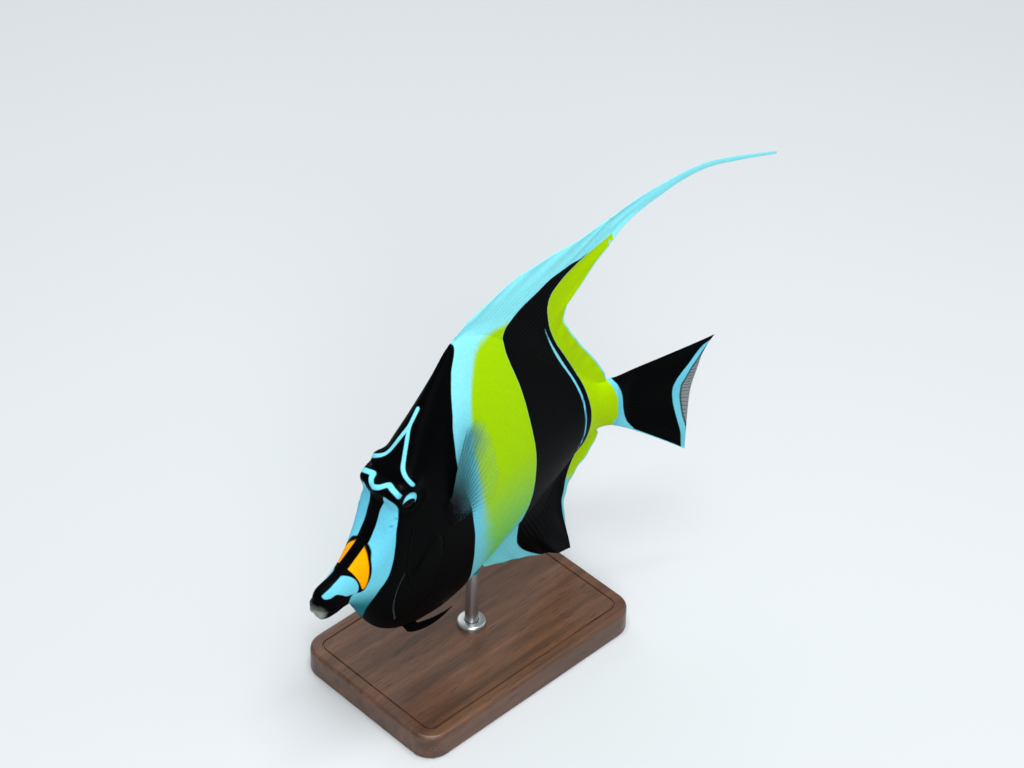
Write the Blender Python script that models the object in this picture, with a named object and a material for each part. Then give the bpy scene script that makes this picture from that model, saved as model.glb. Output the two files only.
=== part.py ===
"""A life-size moorish idol on a plain display stand.

The fish swims level and faces -X. Its left side is -Y and its back is +Z.
The origin lies on the floor, under the middle of the stand's base.

Places on the fish are given as (station, side, height) in hundredths of the standard length:
station runs from the snout to the tail along the spine, side is positive on the fish's left,
and height is counted from the level of the mouth.
"""
import math

import bmesh
import bpy
from mathutils import Vector


class Curve:
    """A smooth curve through a few (place, value) pairs, which never swings past them."""

    def __init__(self, *pairs):
        self.xs = [x for x, _ in pairs]
        self.ys = [y for _, y in pairs]
        steps = range(len(pairs) - 1)
        self.slopes = [(self.ys[i + 1] - self.ys[i]) / (self.xs[i + 1] - self.xs[i]) for i in steps]
        inner = [self.blend(a, b) for a, b in zip(self.slopes, self.slopes[1:])]
        self.tangents = [self.slopes[0], *inner, self.slopes[-1]]

    @staticmethod
    def blend(before, after):
        """Tangent where two stretches meet: level at a peak, else the harmonic mean of the slopes."""
        if before * after <= 0:
            return 0.0
        return 2 * before * after / (before + after)

    def __call__(self, x):
        if x <= self.xs[0]:
            return self.ys[0]
        if x >= self.xs[-1]:
            return self.ys[-1]
        i = max(k for k, left in enumerate(self.xs) if left <= x)
        width = self.xs[i + 1] - self.xs[i]
        t = (x - self.xs[i]) / width
        rise = self.ys[i + 1] - self.ys[i]
        m0 = self.tangents[i] * width
        m1 = self.tangents[i + 1] * width
        return self.ys[i] + t * m0 + t * t * (3 * rise - 2 * m0 - m1) + t ** 3 * (m0 + m1 - 2 * rise)


# Size of the whole animal, in metres
STANDARD_LENGTH = 0.140
UNIT = STANDARD_LENGTH / 100.0
JOIN_GAP = 0.0003 / UNIT

# Lengths along the spine where the body is parted
SNOUT_TIP = 0.0
HEAD_END = 34.0
TRUNK_END = 79.0
STALK_END = 98.5

# The tail swings to the fish's left through this arc
BEND_START = 88.0
BEND_LENGTH = 16.0
BEND_ANGLE = math.radians(30)

# Stand, in metres
BASE_CENTRE_STATION = 50.5
BASE_HEIGHT = 0.010
BASE_LENGTH = 0.100
BASE_WIDTH = 0.066
BASE_CORNER = 0.008
BASE_BEVEL = 0.0015
ROD_RADIUS = 0.0024
ROD_STATION = 51.0
ROD_SIDES = 20
MOUTH_LEVEL = 0.063

# Mesh fineness of the body
UPPER_STEPS = 9
LOWER_STEPS = 8
SNOUT_STEPS = 8
FACE_STEPS = 19
TRUNK_STEPS = 16
STALK_STEPS = 9
SNOUT_BACK = 6.6

# Eyes, in hundredths of the standard length
EYE_STATION = 24.8
EYE_HEIGHT = 23.8
EYE_RADIUS = 3.4
EYE_DEPTH = 2.6
EYE_PROUD = 1.0

# Bony horns on the brow, each in front of and above its eye: station, side, height
HORN_ROOT = (23.8, 4.9, 27.0)
HORN_TIP = (21.9, 5.5, 28.5)
HORN_ROOT_RADIUS = 0.95
HORN_TIP_RADIUS = 0.3
HORN_HOOK = 0.3

# Lips, mouth corner and nostrils
MOUTH_CORNER = 4.2
MOUTH_FRONT_HEIGHT = 1.2
MOUTH_CORNER_HEIGHT = 0.2
LIP_RADIUS = 0.66
NOSTRILS = ((19.2, 18.2), (20.4, 20.2))
NOSTRIL_RADIUS = 0.42

# Gill cover: the middle of its plate, its outline by angle (0 is rearwards, 90 is down), and its relief
GILL_CENTRE = (27.0, 4.0)
GILL_EDGE = Curve((0, 6.4), (45, 9.0), (80, 15.0), (98, 18.4), (107, 18.6), (118, 14.8), (128, 11.2),
                  (142, 7.8), (162, 5.2), (205, 5.6), (270, 8.6), (315, 7.6), (360, 6.4))
GILL_SHARES = (0.55, 0.9, 1.0)
GILL_RISES = (0.35, 0.35, -0.5)
GILL_SINK = 3.0
GILL_STEPS = 24

# Thin parts: half thicknesses
FIN_EDGE = 0.18
FIN_WEB = 0.24
RAY_RISE = 0.13


# Outline of the flesh, seen from the side: station, height
BACK = Curve((0, 2.2), (0.5, 4.2), (1.6, 5.7), (5.5, 6.8), (9.1, 8.8), (12, 10.7), (15, 13.1),
             (17.5, 16.9), (19.4, 22.0), (21.0, 25.9), (26.0, 32.9), (30.0, 39.0), (33.0, 43.3),
             (35, 46.0), (38.5, 50.5), (42, 54.9), (45, 56.8), (52, 54.6), (60, 48.7), (70, 39.5),
             (80, 29.4), (88, 21.3), (93.4, 17.3), (100, 16.6))
BELLY = Curve((0, 0.1), (0.5, -2.0), (1.6, -3.4), (3.4, -3.9), (5.5, -3.7), (7.4, -3.1), (9, -3.0),
              (10.4, -4.0), (12.4, -7.6), (14.4, -11.4), (17, -15.3), (20.5, -18.8), (25.5, -21.7),
              (31.5, -23.3), (38, -23.8), (45, -22.8), (50, -20.6), (54, -18.7), (60, -16.0),
              (70, -10.8), (80, -4.6), (88, 0.6), (93.4, 3.0), (100, 1.4))
WIDEST = Curve((0, 1.2), (5, 1.8), (12, 4.0), (20, 9.0), (30, 12.0), (45, 14.0), (60, 14.0), (80, 12.0),
               (100, 9.2))
HALF_WIDTH = Curve((0, 0.7), (0.5, 1.5), (1.7, 2.2), (5, 2.8), (9, 3.5), (13, 4.7), (17, 6.0), (21, 6.9),
                   (25, 7.3), (31, 7.8), (37, 8.0), (45, 7.8), (55, 7.0), (65, 5.9), (75, 4.7), (85, 3.5),
                   (92, 2.7), (100, 2.0))

# How full the cross section is above and below its widest level: a power and a root
BACK_POWER = Curve((0, 2.2), (9, 2.2), (16, 3.2), (21, 4.4), (26, 3.6), (33, 2.2), (42, 1.7), (80, 1.8),
                   (100, 2.0))
BACK_ROOT = Curve((0, 0.5), (25, 0.5), (35, 0.68), (44, 0.86), (80, 0.8), (92, 0.6), (100, 0.5))
BELLY_POWER = Curve((0, 2.2), (30, 2.1), (60, 1.9), (100, 2.0))
BELLY_ROOT = Curve((0, 0.5), (20, 0.55), (40, 0.62), (60, 0.72), (80, 0.7), (92, 0.58), (100, 0.5))
BACK_EDGE = Curve((0, 0.3), (34, 0.3), (43, 0.62), (80, 0.5), (100, 0.4))
BELLY_EDGE = Curve((0, 0.3), (48, 0.3), (55, 0.55), (80, 0.5), (100, 0.4))


def half_width(station, height):
    """Half the body's thickness at a place on its side view."""
    middle = WIDEST(station)
    if height >= middle:
        part = (height - middle) / (BACK(station) - middle)
        power, root, edge = BACK_POWER(station), BACK_ROOT(station), BACK_EDGE(station)
    else:
        part = (middle - height) / (middle - BELLY(station))
        power, root, edge = BELLY_POWER(station), BELLY_ROOT(station), BELLY_EDGE(station)
    fullness = max(0.0, 1 - min(part, 1.0) ** power) ** root
    return edge + (HALF_WIDTH(station) - edge) * fullness


def under_side(station, side):
    """Height of the belly at a distance from the middle plane."""
    low = BELLY(station)
    high = WIDEST(station)
    if abs(side) <= BELLY_EDGE(station):
        return low
    for _ in range(40):
        middle = (low + high) / 2
        if half_width(station, middle) < abs(side):
            low = middle
        else:
            high = middle
    return high


def bend(station, side, foot):
    """Carry a place along the spine, which is straight and then curves to the left at the tail.

    A place on a fin keeps the direction of the spine at the fin ray's foot.
    """
    radius = BEND_LENGTH / BEND_ANGLE
    angle = min(max(foot - BEND_START, 0.0), BEND_LENGTH) / radius
    ahead = min(foot, BEND_START) + radius * math.sin(angle)
    aside = radius * (1 - math.cos(angle))
    rest = max(foot - BEND_START - BEND_LENGTH, 0.0) + station - foot
    ahead += rest * math.cos(angle) - side * math.sin(angle)
    aside += rest * math.sin(angle) + side * math.cos(angle)
    return ahead, aside


def place(station, side, height, foot=None):
    """World position, in metres, of a place on the fish."""
    ahead, aside = bend(station, side, station if foot is None else foot)
    return Vector(((ahead - BASE_CENTRE_STATION) * UNIT, -aside * UNIT, MOUTH_LEVEL + height * UNIT))


def material(name, colour, roughness, metallic=0.0):
    """A plain Principled material."""
    made = bpy.data.materials.get(name) or bpy.data.materials.new(name)
    made.use_nodes = True
    shader = made.node_tree.nodes["Principled BSDF"]
    shader.inputs["Base Color"].default_value = (*colour, 1.0)
    shader.inputs["Roughness"].default_value = roughness
    shader.inputs["Metallic"].default_value = metallic
    return made


BLACK_SKIN = material("black skin", (0.01, 0.01, 0.014), 0.45)
YELLOW_SKIN = material("yellow skin", (0.45, 0.75, 0.01), 0.45)
WHITE_SKIN = material("white skin", (0.45, 0.78, 0.88), 0.45)
EYE_GLOSS = material("eye", (0.01, 0.012, 0.015), 0.08)
BASE_WOOD = material("stand base", (0.08, 0.045, 0.025), 0.4)
ROD_METAL = material("stand rod", (0.6, 0.6, 0.6), 0.3, 1.0)


def make_object(name, points, faces, finish):
    """One object from a list of points and faces, with its faces turned outwards."""
    mesh = bpy.data.meshes.new(name)
    mesh.from_pydata([tuple(point) for point in points], [], faces)
    work = bmesh.new()
    work.from_mesh(mesh)
    bmesh.ops.recalc_face_normals(work, faces=work.faces)
    work.to_mesh(mesh)
    work.free()
    mesh.materials.append(finish)
    mesh.shade_smooth()
    mesh.set_sharp_from_angle(angle=math.radians(40))
    made = bpy.data.objects.new(name, mesh)
    bpy.context.collection.objects.link(made)
    return made


def apply_boolean(target, pieces, operation):
    """Fuse pieces to a solid, or cut them from it, and keep its largest closed surface."""
    group = bpy.data.collections.new(target.name + " pieces")
    for piece in pieces:
        group.objects.link(piece)
    step = target.modifiers.new("join", "BOOLEAN")
    step.operation = operation
    step.operand_type = "COLLECTION"
    step.collection = group
    step.solver = "EXACT"
    graph = bpy.context.evaluated_depsgraph_get()
    joined = bpy.data.meshes.new_from_object(target.evaluated_get(graph))
    target.modifiers.clear()
    for piece in pieces:
        bpy.data.objects.remove(piece)
    bpy.data.collections.remove(group)
    keep_largest(joined)
    target.data = joined


def keep_largest(mesh):
    """Drop every closed surface of a mesh but the one with the most faces."""
    work = bmesh.new()
    work.from_mesh(mesh)
    bmesh.ops.remove_doubles(work, verts=work.verts, dist=1e-6)
    left = set(work.faces)
    shells = []
    while left:
        front = [left.pop()]
        shell = set(front)
        while front:
            face = front.pop()
            for neighbour in {other for edge in face.edges for other in edge.link_faces} & left:
                left.discard(neighbour)
                shell.add(neighbour)
                front.append(neighbour)
        shells.append(shell)
    largest = max(shells, key=len)
    for shell in shells:
        if shell is not largest:
            bmesh.ops.delete(work, geom=list(shell), context="FACES")
    work.to_mesh(mesh)
    work.free()


def spread(start, end, steps):
    """Evenly spaced values from start to end, both included."""
    return [start + (end - start) * i / steps for i in range(steps + 1)]


def body_ring(station):
    """Cross section of the body, as (side, height) from the back down the left and up the right."""
    middle = WIDEST(station)
    rises = [math.sin(math.pi / 2 * k / UPPER_STEPS) for k in range(UPPER_STEPS, -1, -1)]
    drops = [math.sin(math.pi / 2 * k / LOWER_STEPS) for k in range(1, LOWER_STEPS + 1)]
    heights = [middle + (BACK(station) - middle) * part for part in rises]
    heights += [middle - (middle - BELLY(station)) * part for part in drops]
    left = [(half_width(station, height), height) for height in heights]
    return left + [(-side, height) for side, height in reversed(left)]


def body_length(name, stations, finish):
    """A closed length of the body through cross sections at the given stations."""
    rings = [body_ring(station) for station in stations]
    count = len(rings[0])
    points = [place(station, side, height)
              for station, ring in zip(stations, rings) for side, height in ring]
    faces = [list(range(count)), list(range((len(rings) - 1) * count, len(rings) * count))]
    for i in range(len(rings) - 1):
        for j in range(count):
            a = i * count + j
            b = i * count + (j + 1) % count
            faces += [(a, b, b + count), (a, b + count, a + count)]
    return make_object(name, points, faces, finish)


def ellipsoid(name, centre, radii, segments, rings, finish, axis=None):
    """A closed ball stretched along the row's axes, or along a direction."""
    mesh = bpy.data.meshes.new(name)
    work = bmesh.new()
    bmesh.ops.create_uvsphere(work, u_segments=segments, v_segments=rings, radius=1.0)
    turn = Vector((0, 0, 1)).rotation_difference(axis) if axis is not None else None
    for vert in work.verts:
        stretched = Vector((vert.co.x * radii[0], vert.co.y * radii[1], vert.co.z * radii[2]))
        if turn is not None:
            stretched.rotate(turn)
        vert.co = centre + stretched
    work.to_mesh(mesh)
    work.free()
    mesh.materials.append(finish)
    mesh.shade_smooth()
    made = bpy.data.objects.new(name, mesh)
    bpy.context.collection.objects.link(made)
    return made


def tube(name, path, radii, sides, finish):
    """A closed tube along a path, with its radius at each point of the path."""
    points = []
    for i, point in enumerate(path):
        ahead = (path[min(i + 1, len(path) - 1)] - path[max(i - 1, 0)]).normalized()
        across = ahead.cross(Vector((0, 0, 1))).normalized()
        up = across.cross(ahead)
        for k in range(sides):
            angle = 2 * math.pi * k / sides
            points.append(point + (across * math.cos(angle) + up * math.sin(angle)) * radii[i])
    last = (len(path) - 1) * sides
    faces = [list(range(sides)), list(range(last, last + sides))]
    for i in range(len(path) - 1):
        for k in range(sides):
            a = i * sides + k
            b = i * sides + (k + 1) % sides
            faces += [(a, b, b + sides), (a, b + sides, a + sides)]
    return make_object(name, points, faces, finish)


def lip(name, rise):
    """A lip round the front of the snout, above or below the line of the mouth."""
    path = []
    for turn in spread(-90, 90, 12):
        bow = math.cos(math.radians(turn))
        station = MOUTH_CORNER - (MOUTH_CORNER - SNOUT_TIP) * bow
        height = MOUTH_CORNER_HEIGHT + (MOUTH_FRONT_HEIGHT - MOUTH_CORNER_HEIGHT) * bow
        side = HALF_WIDTH(station) * math.sin(math.radians(turn))
        path.append(place(station, side, height + rise * (0.35 + 0.65 * bow)))
    radii = [LIP_RADIUS * UNIT] * len(path)
    radii[0] = radii[-1] = LIP_RADIUS * UNIT * 0.45
    return tube(name, path, radii, 7, BLACK_SKIN)


def gill_cover(name, left):
    """The raised plate of one gill cover, with its back sunk in the head."""
    sign = 1 if left else -1
    turns = [math.radians(360 * k / GILL_STEPS) for k in range(GILL_STEPS)]
    points = []
    for share, rise in zip(GILL_SHARES, GILL_RISES):
        for turn in turns:
            reach = GILL_EDGE(math.degrees(turn)) * share
            station = min(GILL_CENTRE[0] + reach * math.cos(turn), HEAD_END - 0.5)
            height = GILL_CENTRE[1] - reach * math.sin(turn)
            points.append(place(station, sign * (half_width(station, height) + rise), height))
    middle = half_width(*GILL_CENTRE)
    points.append(place(GILL_CENTRE[0], sign * (middle + GILL_RISES[0]), GILL_CENTRE[1]))
    points.append(place(GILL_CENTRE[0], sign * (middle - GILL_SINK), GILL_CENTRE[1]))
    top = 3 * GILL_STEPS
    faces = []
    for k in range(GILL_STEPS):
        n = (k + 1) % GILL_STEPS
        faces.append((top, k, n))
        for ring in (GILL_STEPS, 2 * GILL_STEPS):
            faces.append((ring + k - GILL_STEPS, ring + k, ring + n))
            faces.append((ring + k - GILL_STEPS, ring + n, ring + n - GILL_STEPS))
        faces.append((top + 1, n + 2 * GILL_STEPS, k + 2 * GILL_STEPS))
    return make_object(name, points, faces, BLACK_SKIN)


def eye_place(left):
    """Centre of an eyeball."""
    side = half_width(EYE_STATION, EYE_HEIGHT) + EYE_PROUD - EYE_DEPTH
    return place(EYE_STATION, side if left else -side, EYE_HEIGHT)


def head_stations():
    """Stations of the head's cross sections, closest at the tip of the snout."""
    snout = [SNOUT_TIP + (SNOUT_BACK - SNOUT_TIP) * (i / SNOUT_STEPS) ** 1.6 for i in range(SNOUT_STEPS)]
    return snout + spread(SNOUT_BACK, HEAD_END - JOIN_GAP / 2, FACE_STEPS)


def build_head():
    """Head from the snout to the gill openings, with lips, nostrils, eye sockets and gill covers."""
    head = body_length("head", head_stations(), BLACK_SKIN)
    added = [lip("upper lip", 0.62), lip("lower lip", -0.62)]
    added += [gill_cover("left cover", True), gill_cover("right cover", False)]
    apply_boolean(head, added, "UNION")
    cut = []
    for left in (True, False):
        sign = 1 if left else -1
        room = [(size + JOIN_GAP) * UNIT for size in (EYE_RADIUS, EYE_DEPTH, EYE_RADIUS)]
        cut.append(ellipsoid("socket", eye_place(left), room, 24, 12, BLACK_SKIN))
        for station, height in NOSTRILS:
            side = sign * half_width(station, height)
            pit = [NOSTRIL_RADIUS * UNIT] * 3
            cut.append(ellipsoid("nostril", place(station, side, height), pit, 8, 6, BLACK_SKIN))
    apply_boolean(head, cut, "DIFFERENCE")


def build_eyes():
    """Two eyeballs, a little flattened, standing slightly proud of the head."""
    for left in (True, False):
        name = "eye_left" if left else "eye_right"
        radii = [size * UNIT for size in (EYE_RADIUS, EYE_DEPTH, EYE_RADIUS)]
        ellipsoid(name, eye_place(left), radii, 24, 12, EYE_GLOSS)


def build_horns():
    """Two short hooked bony horns on the brow, cut to the head's own surface and clear of the eyes."""
    for left in (True, False):
        sign = 1 if left else -1
        root = place(HORN_ROOT[0], sign * HORN_ROOT[1], HORN_ROOT[2])
        tip = place(HORN_TIP[0], sign * HORN_TIP[1], HORN_TIP[2])
        reach = tip - root
        path = []
        radii = []
        for part in (0.0, 0.2, 0.4, 0.6, 0.78, 0.92, 1.0):
            hook = Vector((0, 0, HORN_HOOK * UNIT * math.sin(math.pi * part)))
            path.append(root + reach * part + hook)
            taper = math.sqrt(1 - part ** 3)
            radii.append((HORN_TIP_RADIUS + (HORN_ROOT_RADIUS - HORN_TIP_RADIUS) * taper) * UNIT)
        horn = tube("horn_left" if left else "horn_right", path, radii, 12, BLACK_SKIN)
        room = [(size + 2 * JOIN_GAP) * UNIT for size in (EYE_RADIUS, EYE_DEPTH, EYE_RADIUS)]
        seats = [ellipsoid("eye room", eye_place(left), room, 24, 12, BLACK_SKIN)]
        seats.append(body_length("brow", head_stations(), BLACK_SKIN))
        apply_boolean(horn, seats, "DIFFERENCE")
        lift = reach.normalized() * JOIN_GAP * 1.5 * UNIT
        for vert in horn.data.vertices:
            vert.co += lift


def build_trunk():
    """Trunk and tail stalk, parted from the head and from each other by thin cuts."""
    half = JOIN_GAP / 2
    body_length("trunk", spread(HEAD_END + half, TRUNK_END - half, TRUNK_STEPS), YELLOW_SKIN)
    body_length("tail_stalk", spread(TRUNK_END + half, STALK_END - half, STALK_STEPS), YELLOW_SKIN)


def thin_sheet(name, grid, finish):
    """Close a thin fin. The grid holds (station, side, height, half thickness, foot) by column and row."""
    columns = len(grid)
    rows = len(grid[0])
    points = []
    for sign in (1, -1):
        for column in grid:
            for station, side, height, half, foot in column:
                points.append(place(station, side + sign * half, height, foot))
    shift = columns * rows

    def corner(i, j):
        return i * rows + j

    faces = []
    for i in range(columns - 1):
        for j in range(rows - 1):
            a, b, c, d = corner(i, j), corner(i + 1, j), corner(i + 1, j + 1), corner(i, j + 1)
            pair = [(a, b, c), (a, c, d)] if (i + j) % 2 else [(a, b, d), (b, c, d)]
            faces += pair
            faces += [tuple(shift + k for k in reversed(face)) for face in pair]
    rim = [corner(i, 0) for i in range(columns)]
    rim += [corner(columns - 1, j) for j in range(1, rows)]
    rim += [corner(i, rows - 1) for i in range(columns - 2, -1, -1)]
    rim += [corner(0, j) for j in range(rows - 2, 0, -1)]
    for a, b in zip(rim, rim[1:] + rim[:1]):
        faces += [(a, a + shift, b + shift), (a, b + shift, b)]
    return make_object(name, points, faces, finish)


def ray_profile(part, is_ray, root):
    """Half thickness of a fin along a ray (1) or the web between rays (0), root to edge."""
    web = FIN_WEB + (FIN_EDGE - FIN_WEB) * part
    thick = web + (root - web) * max(0.0, 1 - part / 0.22) ** 1.5
    swell = min(part / 0.1, 1.0) * (1 - 0.75 * part)
    return thick + (RAY_RISE * swell if is_ray else 0.0)


def midline_fin(name, bases, base_height, edge_station, edge_height, root, rows, gap, finish):
    """A fin in the middle plane: rays run from the body's outline to the fin's own edge."""
    grid = []
    for i, base in enumerate(bases):
        is_ray = i % 2 == 1
        foot = base_height(base) + gap
        column = []
        for part in rows:
            station = base + (edge_station(base) - base) * part
            height = foot + (edge_height(base) - foot) * part
            column.append((station, 0.0, height, ray_profile(part, is_ray, root(base)), base))
        grid.append(column)
    return thin_sheet(name, grid, finish)


# Dorsal fin: for a ray's foot at a station on the back, where its tip is
DORSAL_FRONT = 43.6
DORSAL_BACK = 93.9
STREAMER_UPPER = (94.5, 66.8)
STREAMER_LOWER = (94.5, 59.3)
STREAMER_FEET = (58.0, 65.5)
STREAMER_END = 154.0
DORSAL_EDGE_STATION = Curve((43.6, 44.3), (46, 51.7), (50, 68.0), (54, 82.0), (58, STREAMER_UPPER[0]),
                            (65.5, STREAMER_LOWER[0]), (67, 89.3), (68.5, 84.5), (71, 81.2), (74, 80.3),
                            (77.5, 82.3), (82, 86.0), (87.5, 90.0), (91, 92.6), (93.9, 94.6))
DORSAL_EDGE_HEIGHT = Curve((43.6, 58.2), (46, 61.4), (50, 64.8), (54, 65.6), (58, STREAMER_UPPER[1]),
                           (65.5, STREAMER_LOWER[1]), (67, 55.5), (68.5, 52.5), (71, 48.9), (74, 44.3),
                           (77.5, 40.7), (82, 33.8), (87.5, 27.2), (91, 22.4), (93.9, 18.5))


def dorsal_feet():
    """Stations of the dorsal fin's rays and webs, with one on each corner of the streamer's root."""
    front = spread(DORSAL_FRONT, STREAMER_FEET[0], 12)
    middle = spread(STREAMER_FEET[0], STREAMER_FEET[1], 6)
    back = spread(STREAMER_FEET[1], DORSAL_BACK, 28)
    return front + middle[1:] + back[1:]


def build_dorsal_fin():
    """Tall dorsal fin, drawn out at its front into the streamer."""
    rows = (0.0, 0.12, 0.34, 0.58, 0.8, 1.0)
    midline_fin("dorsal_fin", dorsal_feet(), BACK, DORSAL_EDGE_STATION, DORSAL_EDGE_HEIGHT, BACK_EDGE,
                rows, JOIN_GAP, WHITE_SKIN)


def build_streamer():
    """The long thin streamer that trails from the top of the dorsal fin."""
    upper = Curve(STREAMER_UPPER, (99, 67.5), (109.7, 68.4), (117.5, 68.2), (125.6, 67.1), (140, 62.9),
                  (STREAMER_END, 58.2))
    lower = Curve(STREAMER_LOWER, (98.3, 61.8), (102.1, 63.3), (109.9, 64.9), (117.9, 65.8), (126, 65.2),
                  (140, 61.6), (STREAMER_END, 57.4))
    grid = []
    for part in spread(0, 1, 24):
        along = STREAMER_UPPER[0] + (STREAMER_END - STREAMER_UPPER[0]) * part
        half = 0.32 + (0.2 - 0.32) * part
        column = []
        for share in (0.0, 0.3, 0.7, 1.0):
            height = lower(along) + (upper(along) - lower(along)) * share
            swell = 1.25 if share in (0.3, 0.7) else 0.8
            column.append((along + JOIN_GAP, 0.0, height, half * swell, BEND_START))
        grid.append(column)
    thin_sheet("dorsal_streamer", grid, WHITE_SKIN)


# Anal fin: for a ray's foot at a station on the belly, where its tip is
ANAL_EDGE_STATION = Curve((54.2, 54.7), (57.5, 60.9), (61, 66.3), (64.5, 72.0), (67.5, 77.2), (70, 82.4),
                          (72, 86.2), (74, 84.9), (76, 83.3), (78.5, 82.5), (81.5, 83.9), (85, 86.9),
                          (89, 90.9), (92.4, 93.6))
ANAL_EDGE_HEIGHT = Curve((54.2, -20.4), (57.5, -23.2), (61, -25.6), (64.5, -27.9), (67.5, -30.1),
                         (70, -33.3), (72, -34.3), (74, -28.6), (76, -22.4), (78.5, -15.9),
                         (81.5, -11.8), (85, -8.0), (89, -3.6), (92.4, 0.9))
ANAL_FRONT = 54.2
ANAL_BACK = 92.4


def build_anal_fin():
    """Anal fin, which ends in a point below and behind."""
    rows = (0.0, 0.14, 0.36, 0.6, 0.82, 1.0)
    feet = spread(ANAL_FRONT, ANAL_BACK, 40)
    midline_fin("anal_fin", feet, BELLY, ANAL_EDGE_STATION, ANAL_EDGE_HEIGHT, BELLY_EDGE,
                rows, -JOIN_GAP, BLACK_SKIN)


def build_tail_fin():
    """Tail fin, a broad fan whose upper lobe is a little longer in this pose."""
    edge_station = Curve((0, 123.2), (0.16, 120.0), (0.5, 118.0), (0.84, 117.6), (1, 117.8))
    edge_height = Curve((0, 26.0), (0.16, 18.8), (0.5, 8.2), (0.84, -4.4), (1, -10.4))
    start = STALK_END + JOIN_GAP / 2
    top = BACK(STALK_END)
    bottom = BELLY(STALK_END)
    grid = []
    shares = spread(0, 1, 32)
    for i, share in enumerate(shares):
        foot = top + (bottom - top) * share
        spine = 0.5 - 0.5 * math.cos(math.pi * share)
        reach = edge_station(spine) - start
        root = half_width(STALK_END, foot)
        column = []
        for part in (0.0, 0.1, 0.24, 0.44, 0.64, 0.84, 1.0):
            station = start + reach * part
            height = foot + (edge_height(spine) - foot) * part ** 1.08
            column.append((station, 0.0, height, ray_profile(part, i % 2 == 1, root), station))
        grid.append(column)
    thin_sheet("tail_fin", grid, BLACK_SKIN)


# Breast fins: the ends of the root, and each ray's turn in degrees and reach along the root
PECTORAL_TOP = (35.4, 17.0)
PECTORAL_BOTTOM = (36.8, 11.0)
PECTORAL_TURN = Curve((0, 79), (0.5, 50), (1, -16))
PECTORAL_REACH = Curve((0, 22.6), (0.07, 24.6), (0.15, 24.4), (0.3, 22.3), (0.5, 18.2), (0.7, 14.2),
                       (0.85, 11.0), (1, 8.0))
PECTORAL_WEB = 0.2
PECTORAL_ROOT = 0.3
PECTORAL_RAY = 0.1
PECTORAL_LIFT = 0.34

# The right breast fin is further back in its stroke than the left one, by this turn in degrees
PECTORAL_STROKE = 30.0


def pectoral_point(share, part, is_ray, stroke):
    """Station, side, height and half thickness on a breast fin: share across it, part along a ray."""
    foot_station = PECTORAL_TOP[0] + (PECTORAL_BOTTOM[0] - PECTORAL_TOP[0]) * share
    foot_height = PECTORAL_TOP[1] + (PECTORAL_BOTTOM[1] - PECTORAL_TOP[1]) * share
    turn = math.radians(PECTORAL_TURN(share) - stroke)
    reach = PECTORAL_REACH(share) * part
    station = foot_station + reach * math.cos(turn)
    height = foot_height + reach * math.sin(turn)
    ridge = PECTORAL_RAY * min(part * 8, 1.0) if is_ray else 0.0
    half = PECTORAL_WEB + PECTORAL_ROOT * max(0.0, 1 - part / 0.2) + ridge
    flare = PECTORAL_LIFT + reach * (0.10 + 0.06 * share) + 0.5 * part ** 2
    skin = max(half_width(station, height), half_width(foot_station, foot_height) - reach * 0.08)
    return station, skin + flare + half, height, half


def build_pectoral_fins():
    """Breast fins, raised along the body and spread like a fan."""
    for left in (True, False):
        sign = 1 if left else -1
        stroke = 0.0 if left else PECTORAL_STROKE
        grid = []
        for i, share in enumerate(spread(0, 1, 26)):
            column = []
            for part in (0.0, 0.12, 0.3, 0.52, 0.76, 1.0):
                station, side, height, half = pectoral_point(share, part, i % 2 == 1, stroke)
                column.append((station, sign * side, height, half, station))
            grid.append(column)
        thin_sheet("pectoral_fin_left" if left else "pectoral_fin_right", grid, WHITE_SKIN)


# Belly fins: the two ends of the root and of the free edge along the keel, and how far they hang
PELVIC_ROOT = (26.5, 30.5)
PELVIC_TIP = (42.0, 38.0)
PELVIC_SIDE = 1.3
PELVIC_SPREAD = 1.2
PELVIC_DEPTH = 2.1
PELVIC_DROP = 0.9
PELVIC_THICK = 0.4


def pelvic_point(share, part):
    """Station, side and height on the left belly fin: share across it, part along a ray."""
    foot = PELVIC_ROOT[0] + (PELVIC_ROOT[1] - PELVIC_ROOT[0]) * share
    tip = PELVIC_TIP[0] + (PELVIC_TIP[1] - PELVIC_TIP[0]) * share ** 0.8
    station = foot + (tip - foot) * part
    side = PELVIC_SIDE + PELVIC_SPREAD * part
    bow = math.sin(math.pi * min(part * 0.8 + 0.12, 1.0))
    depth = 0.15 + (1 - share) * PELVIC_DEPTH * bow + PELVIC_DROP * part
    return station, side, under_side(station, max(side - 0.8, 0.0)) - JOIN_GAP * 1.6 - depth


def build_pelvic_fins():
    """Small pointed belly fins, folded back along the keel."""
    for left in (True, False):
        sign = 1 if left else -1
        grid = []
        for i, share in enumerate(spread(0, 1, 10)):
            column = []
            for part in (0.0, 0.15, 0.4, 0.7, 1.0):
                station, side, height = pelvic_point(share, part)
                half = ray_profile(part, i % 2 == 1, PELVIC_THICK)
                column.append((station, sign * side, height, half, station))
            grid.append(column)
        thin_sheet("pelvic_fin_left" if left else "pelvic_fin_right", grid, BLACK_SKIN)


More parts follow.
